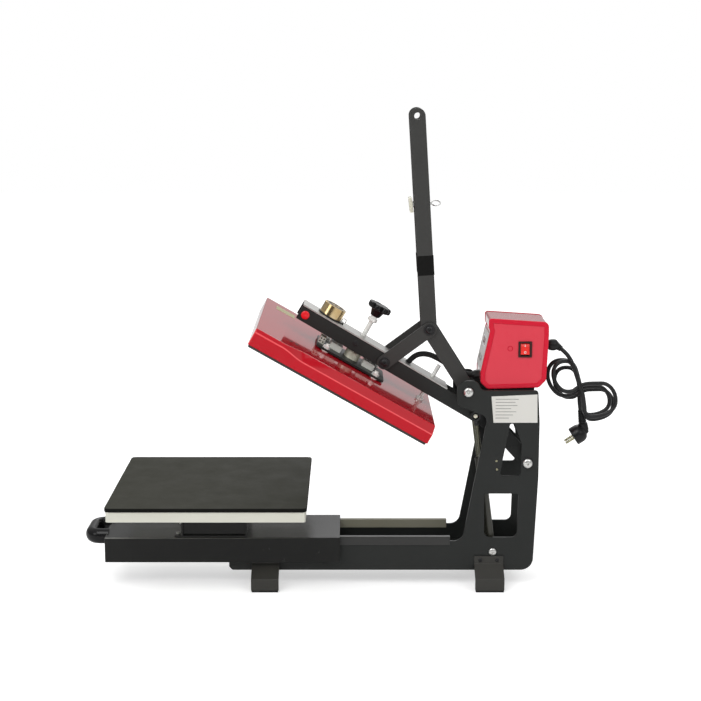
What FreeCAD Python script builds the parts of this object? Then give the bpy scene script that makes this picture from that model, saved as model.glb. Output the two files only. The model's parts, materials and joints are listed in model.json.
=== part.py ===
"""Automatic drawer heat press: a 38 cm press whose arm springs open and whose lower platen pulls out.

All sizes are millimetres. +X runs to the rear of the press, +Y away from the side with the main
switch, +Z up. The origin is the middle of the footprint, on the floor. The press is drawn open,
with its drawer pulled out. Pieces of the arm and of the heated platen are drawn as they lie when
the press is closed, and are then turned about the arm pivot to where they rest.
"""

import FreeCAD, Part
import math
import os

V = FreeCAD.Vector

# Frame and tower
FRAME_WIDTH = 120.0        # over the outer faces of the two side plates
PLATE = 5.0                # thickness of the side plates
RAIL_FRONT_X = -167.0
RAIL_TOP_Z = 92.0
RAIL_HEIGHT = 59.6
TOWER_FRONT_X = 291.0      # where the leaning front edge would meet the rail top
TOWER_LEAN = 10.4          # degrees the tower's front edge leans back
TOWER_REAR_X = 438.0
TOWER_TOP_Z = 394.0
INNER_FILLET = 20.0
TRAY_SHEET = 3.0
FOOT_FLARE = 35.0          # how far the feet spread out beyond the side plates
FOOT_STRAP = 4.0
FOOT_CAP = 3.0
FOOT_STATIONS = ((-122.0, -68.0), (315.0, 372.0))

# Pivots, in the XZ plane
ARM_PIVOT = (416.0, 250.0)
HANDLE_PIVOT = (299.0, 391.0)
LINK_PIVOT = (137.4, 444.3)     # where the link meets the arm, press open
STRUT_FOOT = (351.0, 70.0)
STRUT_HEAD = (315.0, 340.0)     # where the struts meet the arm, press open

# Motion
PLATEN_TILT = 29.7         # degrees the heated platen stands open
ARM_RISE = 1.0             # degrees the closed arm still rises towards the front
ROCKER_TILT = 8.0          # degrees to each side of level

# Arm
ARM_WIDTH = 62.0           # over the outer faces of the two bars
BAR = 5.0                  # thickness of the arm and handle bars
ARM_BAR_HEIGHT = 28.0
ARM_BAR_OFFSET = 26.2      # centre of the straight bars above the arm pivot
ARM_FRONT_X = -114.0
ARM_BEND_X = 326.0         # the bars bend down to the pivot here
ARM_END_RADIUS = 15.0
TOP_PLATE = 3.0
TOP_PLATE_REAR_X = 210.0
FRONT_PIN_X = -101.0
NUT_PIN_X = 11.0
MAGNET_X = -57.0
MAGNET_DIAMETER = 46.0
MAGNET_HEIGHT = 22.0
MAGNET_BASE = 2.5
CONDUIT_HOLE_X = 120.0

# Toggle: handle bars and links
LEG_LENGTH = 139.5         # handle pivot to knee
LINK_LENGTH = 107.9        # knee to the pivot on the arm
HANDLE_LENGTH = 408.0      # knee to the hole at the top
HANDLE_LEAN = 3.6          # degrees from upright, towards the front
HANDLE_BAR_WIDTH = 30.0
LEG_WIDTH = 29.0
GRIP_HOLE = 13.0
LINK_WIDTH = 28.0
LINK_BAR = 5.0
SIDE_GAP = 0.4             # between bars that turn side by side
ARMATURE_AT = 240.0        # from the knee along the handle
ARMATURE_FACE = 25.0       # holding face in front of the handle's centre line
ARMATURE_THICK = 7.0

# Pins and their fits
MAIN_PIN = 12.0
SMALL_PIN = 8.0
RUNNING = 0.05             # radial clearance of a turning fit
SEAT = 0.3                 # gap where a piece seats without touching
HEAD_SLOPE = 0.6           # share of a bolt head's height that its sloped rim takes

# Gas struts
STRUT_Y = 43.5
STRUT_TUBE = 15.0
STRUT_ROD = 8.0
STRUT_EYE = 8.0            # width of an eye
STRUT_TUBE_LENGTH = 165.0
STRUT_PLAY = 2.6           # extra radius in the upper eye, which lets the strut lag behind the arm

# Platens
PLATEN = 380.0
PLATEN_MIDDLE_X = 15.5     # middle of the heated platen, press closed
HEAT_FACE_Z = 206.8        # pressing face, press closed
HEAT_PLATE = 20.0
COVER_HEIGHT = 33.0
COVER_REVEAL = 5.0         # the heating plate shows this much below its cover
COVER_WALL = 2.0
PEDESTAL_HEIGHT = 65.0
LOWER_PLATE = 20.0
PAD = 8.0
PAD_OVERHANG = 2.5
LOWER_MIDDLE_X = -199.5    # middle of the lower platen, drawer out

# Pressure assembly, on the closed platen
SCREW_X = 19.5
SCREW = 10.0
KNOB_Z = 345.0
KNOB = 48.0
KNOB_LOBES = 7
GUIDE_INSET = 27.5         # from the platen's rear edge
GUIDE = 8.0
GUIDE_TOP_Z = 324.0
SPIDER_GAP = 1.8           # from the cover up to the spider plate
SPIDER = 4.0
SPIDER_LENGTH = 148.0
SPIDER_WIDTH = 104.0
STUD_X = 54.0
STUD_Y = 43.0
STUD = 8.0
STANDOFF = 16.0
THRUST = 32.0
THRUST_HEIGHT = 15.5

# Drawer
DRAWER_WIDTH = 155.0
DRAWER_FRONT_X = -408.0
DRAWER_REAR_X = 51.0
DRAWER_TOP_Z = 104.0
DRAWER_HEIGHT = 50.0
DRAWER_SHEET = 2.2
DRAWER_LIP = 9.0
PULL_REACH = 45.5          # how far the pull stands out from the drawer's front
PULL_WIDTH = 104.0
PULL_GRIP = 24.0           # thickness of the bar
PULL_HEIGHT = 30.0
PULL_FLATS = 6             # narrow flats that round the bar's top, and as many its bottom
PULL_BEND = 20.0
PULL_Z = 96.0
PEDESTAL_FRONT_X = -258.0
PEDESTAL_LENGTH = 128.0
PEDESTAL_WIDTH = 150.0
PEDESTAL_SHEET = 4.0
PEDESTAL_FLANGE = 13.0

# Control box
BOX_WIDTH = 98.0
BOX_FRONT_X = 323.0
BOX_DEPTH = 130.5          # from the panel's foot to the rear
BOX_FOOT_Z = 394.0
BOX_COVER = 5.0            # thickness of the two side covers
BOX_WALL = 2.2
BOX_STEP = 0.8             # the wrap stands this far inside the covers' outline
BORDER = 9.0               # width of the raised border of the covers
BORDER_DEPTH = 1.2
PANEL = 2.0
PANEL_FOOT = (BOX_FRONT_X, BOX_FOOT_Z + 34.0)
PANEL_HEAD = (BOX_FRONT_X + 17.0, BOX_FOOT_Z + 114.0)
BOX_REAR_X = BOX_FRONT_X + BOX_DEPTH
SWITCH_AT = (BOX_REAR_X - 45.5, BOX_FOOT_Z + 78.5)
SWITCH_WIDTH = 26.0
SWITCH_HEIGHT = 31.0
ROCKER_AXLE = 3.0
ROCKER_AXLE_DEPTH = 4.0    # behind the cover's face
BUTTON = 9.0
BUTTONS = ((22.0, -14.0), (22.0, 14.0))     # up the panel, across it

# Conduit and mains lead
CONDUIT = 11.0
CONDUIT_Z = BOX_FOOT_Z + 18.0   # where it enters the box
CORD = 8.0
CORD_Y = -20.0
CONNECTOR_AT = (BOX_REAR_X + 11.0, BOX_FOOT_Z + 82.3)
LEAD = [(478.0, CORD_Y, 470.5), (491.5, -21.0, 461.0), (505.5, -25.0, 437.5), (514.0, -31.0, 406.4)]

# Hank: figure-of-eight turns of the lead, each behind the one before
HANK_CENTRE = (519.0, 388.0)
HANK_FRONT_Y = -32.0
HANK_PITCH = 19.0
# share of the turn, offsets from the crossing in X and Z, direction in degrees
HANK_LOOP = [(0.0, 0.0, 0.0, -75.0), (0.17, 30.0, -64.0, 3.0), (0.30, 72.0, -31.0, 90.0),
             (0.42, 40.0, 5.0, 181.0), (0.52, -2.0, -2.0, 212.0), (0.60, -27.0, -15.0, 177.0),
             (0.74, -64.0, 30.0, 90.0), (0.84, -36.0, 56.0, -6.0)]
# shift of each turn's crossing in X and Z, size of its right loop and of its left loop
HANK_TURNS = [(0.0, 2.0, 1.0, 0.86), (4.0, -2.0, 0.86, 1.0), (6.0, -6.0, 0.93, 0.93)]

# Plug
PLUG_TOP = (529.0, 25.0, 336.0)
PLUG_ROOT = (537.0, 25.0, 295.0)
PLUG_FACE = (516.0, 25.0, 281.0)
PLUG = 37.0
PLUG_PIN = 4.8
PLUG_PIN_LENGTH = 19.0
PLUG_PIN_SPACING = 19.0

HALF = FRAME_WIDTH / 2
INNER = HALF - PLATE
ARM_OUT = ARM_WIDTH / 2
ARM_IN = ARM_OUT - BAR
LINK_IN = ARM_OUT + SIDE_GAP
LINK_OUT = LINK_IN + LINK_BAR
ARM_TILT = PLATEN_TILT + ARM_RISE
BAR_MIDDLE_Z = ARM_PIVOT[1] + ARM_BAR_OFFSET
BAR_TOP_Z = BAR_MIDDLE_Z + ARM_BAR_HEIGHT / 2
BAR_BOTTOM_Z = BAR_MIDDLE_Z - ARM_BAR_HEIGHT / 2
PLATE_TOP_Z = BAR_TOP_Z + TOP_PLATE
GUIDE_X = PLATEN_MIDDLE_X + PLATEN / 2 - GUIDE_INSET
HOT_TOP_Z = HEAT_FACE_Z + HEAT_PLATE
COVER_TOP_Z = HEAT_FACE_Z + COVER_REVEAL + COVER_HEIGHT
SPIDER_Z = COVER_TOP_Z + SPIDER_GAP
SPIDER_TOP_Z = SPIDER_Z + SPIDER
STUD_FOOT_Z = HOT_TOP_Z - 12.0
BOX_HALF = BOX_WIDTH / 2
BOX_IN = BOX_HALF - BOX_COVER


def export(node, *shapes):
    """Write one node as a STEP file, one solid per separate piece."""
    solids = [solid for shape in shapes for solid in shape.Solids]
    shape = solids[0] if len(solids) == 1 else Part.makeCompound(solids)
    shape.exportStep("parts/" + node + ".step")


def box(x0, x1, y0, y1, z0, z1):
    """A block between two corners."""
    return Part.makeBox(x1 - x0, y1 - y0, z1 - z0, V(x0, y0, z0))


def rod(radius, start, end):
    """A round bar from one point to another."""
    a, b = V(*start), V(*end)
    return Part.makeCylinder(radius, (b - a).Length, a, b - a)


def upright(radius, x, y, z0, z1):
    """A round bar that stands on end."""
    return rod(radius, (x, y, z0), (x, y, z1))


def across(radius, at, y0, y1):
    """A round bar across the press at an XZ point."""
    return rod(radius, (at[0], y0, at[1]), (at[0], y1, at[1]))


def pin_hole(diameter, at, play=RUNNING):
    """A hole right across the press for a pin."""
    return across(diameter / 2 + play, at, -HALF - 20.0, HALF + 20.0)


def loop(corners):
    """A closed outline of straight sides, each corner (x, z, radius) rounded by its radius."""
    points = [V(x, 0, z) for x, z, _ in corners]
    ends = []
    for i, (_, _, radius) in enumerate(corners):
        here = points[i]
        before = (points[i - 1] - here).normalize()
        after = (points[(i + 1) % len(points)] - here).normalize()
        if radius <= 0:
            ends.append((here, here, None))
            continue
        half = before.getAngle(after) / 2
        reach = radius / math.tan(half)
        middle = (before + after).normalize() * (radius / math.sin(half) - radius)
        ends.append((here + before * reach, here + after * reach, here + middle))
    edges = []
    for i, (first, last, middle) in enumerate(ends):
        if middle is not None:
            edges.append(Part.Arc(first, middle, last).toShape())
        following = ends[(i + 1) % len(ends)][0]
        if (following - last).Length > 1e-6:
            edges.append(Part.LineSegment(last, following).toShape())
    return Part.Wire(edges)


def plate(corners, y0, y1, inset=0.0):
    """A flat plate between two depths, from an XZ outline that can be drawn in by an inset."""
    face = Part.Face(loop(corners))
    if inset:
        face = face.makeOffset2D(-inset)
    solid = face.Faces[0].extrude(V(0, y1 - y0, 0))
    solid.translate(V(0, y0, 0))
    return solid


def section(points, x0, x1):
    """A long piece of constant YZ section between two stations."""
    wire = Part.makePolygon([V(x0, y, z) for y, z in points + points[:1]])
    return Part.Face(wire).extrude(V(x1 - x0, 0, 0))


def bar(a, b, radius_a, radius_b, y0, y1):
    """A flat bar with rounded ends about two XZ points."""
    dx, dz = b[0] - a[0], b[1] - a[1]
    length = math.hypot(dx, dz)
    nx, nz = -dz / length, dx / length
    body = plate([(a[0] + nx * radius_a, a[1] + nz * radius_a, 0),
                  (b[0] + nx * radius_b, b[1] + nz * radius_b, 0),
                  (b[0] - nx * radius_b, b[1] - nz * radius_b, 0),
                  (a[0] - nx * radius_a, a[1] - nz * radius_a, 0)], y0, y1)
    ends = [across(radius_a, a, y0, y1), across(radius_b, b, y0, y1)]
    return body.fuse(ends).removeSplitter()


def far(shape):
    """The same piece on the far side of the press."""
    return shape.mirror(V(0, 0, 0), V(0, 1, 0))


def both(shape):
    """A piece and its twin on the far side."""
    return [shape, far(shape)]


def cut(shape, *tools):
    """Cut several tools out of a piece."""
    for tool in tools:
        shape = shape.cut(tool)
    return shape


def join(*shapes):
    """One solid from pieces that overlap."""
    return shapes[0].fuse(list(shapes[1:])).removeSplitter()


def turn(shape, degrees, about):
    """Turn a piece in the XZ plane about a point; positive lowers the front."""
    turned = shape.copy()
    turned.rotate(V(about[0], 0, about[1]), V(0, -1, 0), degrees)
    return turned


def turned_point(point, degrees, about):
    """An XZ point turned the same way."""
    angle = math.radians(degrees)
    x, z = point[0] - about[0], point[1] - about[1]
    return (about[0] + x * math.cos(angle) - z * math.sin(angle),
            about[1] + x * math.sin(angle) + z * math.cos(angle))


def on_arm(*shapes):
    """Bring pieces of the arm from their level drawing place to where they rest."""
    return [turn(shape, -ARM_TILT, ARM_PIVOT) for shape in shapes]


def on_platen(*shapes):
    """Bring pieces of the heated platen from their closed place to where they rest."""
    return [turn(shape, -PLATEN_TILT, ARM_PIVOT) for shape in shapes]


def square_to_platen(radius, x):
    """A hole through the arm that is square to the platen, as drawn on the level arm."""
    return turn(upright(radius, x, 0, 200.0, 400.0), ARM_RISE, ARM_PIVOT)


def upright_edges(shape, length):
    """The upright edges of a block, at least so long."""
    found = []
    for edge in shape.Edges:
        size = edge.BoundBox
        if size.ZLength > length and size.XLength < 0.01 and size.YLength < 0.01:
            found.append(edge)
    return found


def round_edges(shape, z):
    """The circles of a piece at a height."""
    found = []
    for edge in shape.Edges:
        size = edge.BoundBox
        if abs(size.ZMax - z) < 0.01 and size.ZLength < 0.01 and size.XLength > 10.0:
            found.append(edge)
    return found


def hexagon(across_flats, start, end):
    """A hexagon prism between two points."""
    a, b = V(*start), V(*end)
    axis = b - a
    side = V(1, 0, 0) if abs(axis.x) < axis.Length * 0.9 else V(0, 0, 1)
    first = axis.cross(side).normalize() * (across_flats / math.sqrt(3))
    points = [a + FreeCAD.Rotation(axis, 60 * i).multVec(first) for i in range(7)]
    return Part.Face(Part.makePolygon(points)).extrude(axis)


def near_head(radius, height, at, y):
    """A bolt head with a sloped rim that stands out from a near face at depth y."""
    drum = across(radius, at, y, y - height)
    rim = [edge for edge in drum.Edges
           if edge.BoundBox.YLength < 0.01 and edge.BoundBox.YMax < y - height / 2]
    return drum.makeChamfer(height * HEAD_SLOPE, rim)


def top_head(radius, height, x, y, z):
    """A screw head with a sloped rim that stands on a level face."""
    solid = near_head(radius, height, (0, 0), 0)
    solid.rotate(V(0, 0, 0), V(1, 0, 0), -90)
    solid.translate(V(x, y, z))
    return solid


def heading(a, b):
    """Direction from one XZ point to another, in degrees from +X towards +Z."""
    return math.degrees(math.atan2(b[1] - a[1], b[0] - a[0]))


def signed(angle):
    """An angle brought to between -180 and 180 degrees."""
    return (angle + 180) % 360 - 180


def along(origin, degrees, distance, offset=0.0):
    """XZ point at a distance along a direction and an offset to its left."""
    angle = math.radians(degrees)
    ux, uz = math.cos(angle), math.sin(angle)
    return (origin[0] + ux * distance - uz * offset, origin[1] + uz * distance + ux * offset)


def slab(origin, degrees, s0, s1, o0, o1, y0, y1):
    """A block that lies along a direction in the XZ plane, its offsets to the left."""
    corners = [along(origin, degrees, s, o) for s, o in ((s0, o0), (s1, o0), (s1, o1), (s0, o1))]
    return plate([(x, z, 0) for x, z in corners], y0, y1)


def square_rod(origin, degrees, radius, s, y, o0, o1):
    """A round bar in the XZ plane, square to a direction, between two offsets to its left."""
    a, b = along(origin, degrees, s, o0), along(origin, degrees, s, o1)
    return rod(radius, (a[0], y, a[1]), (b[0], y, b[1]))


def knee_point(link_pivot):
    """Where handle leg and link meet, for a place of the pivot on the arm."""
    dx = link_pivot[0] - HANDLE_PIVOT[0]
    dz = link_pivot[1] - HANDLE_PIVOT[1]
    reach = math.hypot(dx, dz)
    cosine = (LEG_LENGTH ** 2 + reach ** 2 - LINK_LENGTH ** 2) / (2 * LEG_LENGTH * reach)
    angle = math.degrees(math.atan2(dz, dx) - math.acos(cosine))
    return along(HANDLE_PIVOT, angle, LEG_LENGTH)


KNEE = knee_point(LINK_PIVOT)
LINK_PIVOT_CLOSED = turned_point(LINK_PIVOT, PLATEN_TILT, ARM_PIVOT)
KNEE_CLOSED = knee_point(LINK_PIVOT_CLOSED)
HANDLE_SWING = signed(heading(HANDLE_PIVOT, KNEE_CLOSED) - heading(HANDLE_PIVOT, KNEE))
LINK_SWING = signed(heading(KNEE_CLOSED, LINK_PIVOT_CLOSED) - heading(KNEE, LINK_PIVOT))
STRUT_HEAD_CLOSED = turned_point(STRUT_HEAD, PLATEN_TILT, ARM_PIVOT)
STRUT_SWING = signed(heading(STRUT_FOOT, STRUT_HEAD_CLOSED) - heading(STRUT_FOOT, STRUT_HEAD))
STRUT_OPEN = math.dist(STRUT_FOOT, STRUT_HEAD)
STRUT_STROKE = STRUT_OPEN - math.dist(STRUT_FOOT, STRUT_HEAD_CLOSED)
HANDLE_HEADING = 90.0 + HANDLE_LEAN
PANEL_HEADING = heading(PANEL_FOOT, PANEL_HEAD)

# Places on the level arm
LINK_AT = turned_point(LINK_PIVOT, ARM_TILT, ARM_PIVOT)
STRUT_AT = turned_point(STRUT_HEAD, ARM_TILT, ARM_PIVOT)
FRONT_PIN = (FRONT_PIN_X, BAR_MIDDLE_Z)
NUT_PIN = (NUT_PIN_X, BAR_MIDDLE_Z + 2.0)

# Studs of the pressure spider
STUDS = [(SCREW_X + sx * STUD_X, sy * STUD_Y) for sx in (-1, 1) for sy in (-1, 1)]


def tower_outline():
    """Side plate: a rail and a leaning tower in one piece."""
    lean = math.tan(math.radians(TOWER_LEAN))
    bottom = RAIL_TOP_Z - RAIL_HEIGHT
    x, z = HANDLE_PIVOT
    boss = 22.0
    brow_z = z - 60.0
    brow_x = TOWER_FRONT_X + (brow_z - RAIL_TOP_Z) * lean
    return [(RAIL_FRONT_X, bottom + 7.0, 3.0),
            (RAIL_FRONT_X + 6.0, bottom, 5.0),
            (TOWER_REAR_X - 8.0, bottom, 24.0),
            (TOWER_REAR_X, 220.0, 60.0),
            (TOWER_REAR_X, 330.0, 60.0),
            (TOWER_REAR_X - 4.0, TOWER_TOP_Z, 6.0),
            (x + 26.0, TOWER_TOP_Z, 10.0),
            (x + 18.0, z + boss, 16.0),
            (x - boss, z + boss, boss - 1.0),
            (x - boss, z - boss - 4.0, boss - 5.0),
            (brow_x - 1.5, brow_z + 12.0, 12.0),
            (brow_x, brow_z, 8.0),
            (TOWER_FRONT_X, RAIL_TOP_Z, INNER_FILLET),
            (RAIL_FRONT_X, RAIL_TOP_Z, 2.0)]


UPPER_WINDOW = [(362.0, 224.0, 5.0), (404.0, 224.0, 6.0), (404.0, 288.0, 30.0),
                (389.0, 328.0, 4.0), (381.0, 328.0, 4.0)]
LOWER_WINDOW = [(334.0, 99.5, 12.0), (398.0, 99.5, 12.0), (400.0, 188.0, 4.0), (333.0, 188.0, 4.0)]


def make_side_plates():
    """The two side plates with their windows."""
    near = cut(plate(tower_outline(), -HALF, -INNER),
               plate(UPPER_WINDOW, -HALF - 1.0, -INNER + 1.0),
               plate(LOWER_WINDOW, -HALF - 1.0, -INNER + 1.0),
               pin_hole(MAIN_PIN, ARM_PIVOT),
               pin_hole(MAIN_PIN, HANDLE_PIVOT),
               pin_hole(SMALL_PIN, STRUT_FOOT))
    export("near_side_plate", near)
    export("far_side_plate", far(near))


def make_tray():
    """The folded tray that ties the side plates together."""
    z = RAIL_TOP_Z - RAIL_HEIGHT + 4.0
    rim = z + 24.0
    t = TRAY_SHEET
    x1 = TOWER_REAR_X - 18.0
    outline = [(-INNER, rim), (-INNER, z), (INNER, z), (INNER, rim), (INNER - t, rim),
               (INNER - t, z + t), (-INNER + t, z + t), (-INNER + t, rim)]
    tray = section(outline, RAIL_FRONT_X + 8.0, x1)
    back = box(x1 - t, x1, -INNER, INNER, z, RAIL_TOP_Z - 4.0)
    export("bed_tray", join(tray, back))


def make_pivots():
    """Shafts with heads and nuts, and the spacers that keep the bars in line."""
    bolts = []
    for at in (ARM_PIVOT, HANDLE_PIVOT):
        shank = across(MAIN_PIN / 2, at, -HALF - 1.7, HALF + 4.0)
        washer = across(11.5, at, -HALF - 1.7, -HALF)
        head = near_head(10.0, 6.0, at, -HALF - 1.7)
        far_washer = across(11.5, at, HALF, HALF + 1.7)
        nut = hexagon(18.0, (at[0], HALF + 1.7, at[1]), (at[0], HALF + 9.0, at[1]))
        bolts.append(join(shank, washer, head, far_washer, nut))
    foot = across(SMALL_PIN / 2, STRUT_FOOT, -HALF, HALF)
    bolts.append(join(foot, *both(near_head(7.5, 4.5, STRUT_FOOT, -HALF))))
    export("pivot_bolts", *bolts)

    eye = STRUT_EYE / 2 + SEAT
    spacers = []
    for at in (ARM_PIVOT, HANDLE_PIVOT):
        bore = pin_hole(MAIN_PIN, at)
        spacers += both(across(9.5, at, -INNER, -ARM_OUT - SEAT).cut(bore))
        spacers.append(across(9.5, at, -ARM_IN + SEAT, ARM_IN - SEAT).cut(bore))
    bore = pin_hole(SMALL_PIN, STRUT_FOOT)
    spacers += both(across(7.0, STRUT_FOOT, -INNER, -STRUT_Y - eye).cut(bore))
    spacers.append(across(7.0, STRUT_FOOT, -STRUT_Y + eye, STRUT_Y - eye).cut(bore))
    export("pivot_spacers", *spacers)


def make_feet():
    """Four strap feet that flare out from the side plates, with rubber caps, and the frame's screws."""
    outer = HALF + FOOT_FLARE
    t = FOOT_STRAP
    outline = [(-HALF, 62.0), (-HALF - t, 62.0), (-HALF - t, 47.0), (-outer - t, 27.0),
               (-outer - t, FOOT_CAP), (-outer, FOOT_CAP), (-outer, 24.6), (-HALF, 42.8)]
    straps, caps, screws = [], [], []
    for x0, x1 in FOOT_STATIONS:
        straps += both(section(outline, x0, x1))
        caps += both(box(x0 + 1.0, x1 - 1.0, -outer - t - 0.6, -outer + 6.0, 0.0, FOOT_CAP))
        for x in (x0 + 12.0, x1 - 12.0):
            screws += both(near_head(4.0, 2.2, (x, 54.5), -HALF - t))
    for at in ((355.6, 254.1), (356.9, 237.0)):
        screws += both(near_head(2.2, 1.0, at, -HALF))
    export("foot_straps", *straps)
    export("foot_caps", *caps)
    export("frame_screws", *screws)


def make_runners():
    """Plastic strips on the rails, and the blocks whose lower edge holds the drawer down."""
    top = DRAWER_TOP_Z - DRAWER_SHEET - SEAT
    x0, x1 = RAIL_FRONT_X + 2.0, TOWER_FRONT_X - INNER_FILLET - 4.0
    strip = box(x0, x1, -HALF - 2.0, -INNER + 2.0, RAIL_TOP_Z - 8.0, top)
    strip = strip.cut(box(x0 - 1.0, x1 + 1.0, -HALF, -INNER, RAIL_TOP_Z - 9.0, RAIL_TOP_Z))
    export("runner_strips", *both(strip))
    lip_top = DRAWER_TOP_Z - DRAWER_HEIGHT + DRAWER_SHEET
    wall = DRAWER_WIDTH / 2 - DRAWER_SHEET
    blocks = []
    for x in (RAIL_FRONT_X + 24.0, 22.0):
        blocks += both(box(x - 18.0, x + 18.0, -wall + SEAT, -HALF, lip_top + SEAT, lip_top + 26.0))
    export("side_guide_blocks", *blocks)


def make_drawer():
    """The sliding drawer: a folded channel, open at the rear, with inward lips."""
    half = DRAWER_WIDTH / 2
    t = DRAWER_SHEET
    top = DRAWER_TOP_Z
    foot = top - DRAWER_HEIGHT
    lip = half - DRAWER_LIP
    right = [(lip, foot + t), (lip, foot), (half, foot), (half, top)]
    left = [(-y, z) for y, z in reversed(right)]
    hollow = [(-half + t, foot + t), (-half + t, top - t), (half - t, top - t), (half - t, foot + t)]
    shell = section(left + hollow + right, DRAWER_FRONT_X, DRAWER_REAR_X)
    front = box(DRAWER_FRONT_X, DRAWER_FRONT_X + t, -half, half, foot, top)
    shell = join(shell, front)
    folds = [edge for edge in shell.Edges
             if edge.BoundBox.XLength > 100.0 and abs(edge.BoundBox.ZMin - top) < 0.01]
    export("drawer_channel", shell.makeFillet(2.0, folds))


def make_pull():
    """The moulded pull: a bar with rounded top and bottom, bent to a D."""
    root = DRAWER_FRONT_X
    reach = DRAWER_FRONT_X - PULL_REACH + PULL_GRIP / 2
    side = PULL_WIDTH / 2 - PULL_GRIP / 2
    bend = PULL_BEND
    nook = bend * (1 - math.sqrt(0.5))

    def at(x, y):
        return V(x, y, PULL_Z)

    path = Part.Wire([
        Part.LineSegment(at(root, -side), at(reach + bend, -side)).toShape(),
        Part.Arc(at(reach + bend, -side), at(reach + nook, -side + nook),
                 at(reach, -side + bend)).toShape(),
        Part.LineSegment(at(reach, -side + bend), at(reach, side - bend)).toShape(),
        Part.Arc(at(reach, side - bend), at(reach + nook, side - nook),
                 at(reach + bend, side)).toShape(),
        Part.LineSegment(at(reach + bend, side), at(root, side)).toShape()])
    half, rise = PULL_GRIP / 2, PULL_HEIGHT / 2 - PULL_GRIP / 2
    angles = [math.radians(180.0 * i / PULL_FLATS) for i in range(PULL_FLATS + 1)]
    crown = [V(0, half * math.cos(angle), rise + half * math.sin(angle)) for angle in angles]
    keel = [V(0, -point.y, -point.z) for point in crown]
    corners = [at(root, -side) + point for point in crown + keel + crown[:1]]
    pull = path.makePipeShell([Part.makePolygon(corners)], True, False)
    block = box(root - 4.0, root, -side, side, PULL_Z - 10.0, DRAWER_TOP_Z - 2.0)
    export("drawer_pull", join(pull, block))


def make_pedestal():
    """The folded pedestal that carries the lower platen on the drawer."""
    base = DRAWER_TOP_Z
    top = base + PEDESTAL_HEIGHT
    x0 = PEDESTAL_FRONT_X
    x1 = x0 + PEDESTAL_LENGTH
    half = PEDESTAL_WIDTH / 2
    t = PEDESTAL_SHEET
    frame = box(x0, x1, -half, half, base, top).cut(
        box(x0 + t, x1 - t, -half - 1.0, half + 1.0, base + t, top - t))
    flange = box(x0 - PEDESTAL_FLANGE, x0 + t, -half, half, base, base + t)
    gussets = [box(x0, x1, y, y + t, base, top) for y in (-half + 6.0, half - 6.0 - t)]
    export("platen_pedestal", join(frame, flange, *gussets))
    x = x0 - PEDESTAL_FLANGE + 5.5
    screws = [top_head(4.5, 2.6, x, y, base + t) for y in (-half + 14.0, 0.0, half - 14.0)]
    export("pedestal_screws", *screws)


def make_lower_platen():
    """The cast lower platen and its silicone pad."""
    half = PLATEN / 2
    x = LOWER_MIDDLE_X
    edge = half - PAD_OVERHANG
    z = DRAWER_TOP_Z + PEDESTAL_HEIGHT
    casting = box(x - edge, x + edge, -edge, edge, z, z + LOWER_PLATE)
    export("lower_platen_plate", casting.makeFillet(5.0, upright_edges(casting, 10.0)))
    z += LOWER_PLATE
    pad = box(x - half, x + half, -half, half, z, z + PAD)
    export("silicone_pad", pad.makeFillet(6.0, upright_edges(pad, 5.0)))


def make_arm_bars():
    """The arm's two bars, bent down to the pivot, and the bare plate on them."""
    straight = plate([(ARM_FRONT_X, BAR_BOTTOM_Z, 2.0), (ARM_FRONT_X, BAR_TOP_Z, 2.0),
                      (ARM_BEND_X, BAR_TOP_Z, 0), (ARM_BEND_X, BAR_BOTTOM_Z, 0)], -ARM_OUT, -ARM_IN)
    bend = (ARM_BEND_X, BAR_MIDDLE_Z)
    lower = bar(bend, ARM_PIVOT, ARM_BAR_HEIGHT / 2, ARM_END_RADIUS, -ARM_OUT, -ARM_IN)
    near = cut(join(straight, lower), pin_hole(MAIN_PIN, ARM_PIVOT),
               *[pin_hole(SMALL_PIN, at) for at in (LINK_AT, STRUT_AT, FRONT_PIN, NUT_PIN)])
    export("arm_bars", *on_arm(*both(near)))
    top = cut(box(ARM_FRONT_X, TOP_PLATE_REAR_X, -ARM_OUT, ARM_OUT, BAR_TOP_Z, PLATE_TOP_Z),
              square_to_platen(SCREW / 2 + 1.5, SCREW_X),
              square_to_platen(GUIDE / 2 + RUNNING, GUIDE_X),
              upright(CONDUIT / 2 + 1.2, CONDUIT_HOLE_X, 0, BAR_BOTTOM_Z, BAR_TOP_Z + 20.0))
    export("arm_top_plate", *on_arm(top))


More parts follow.
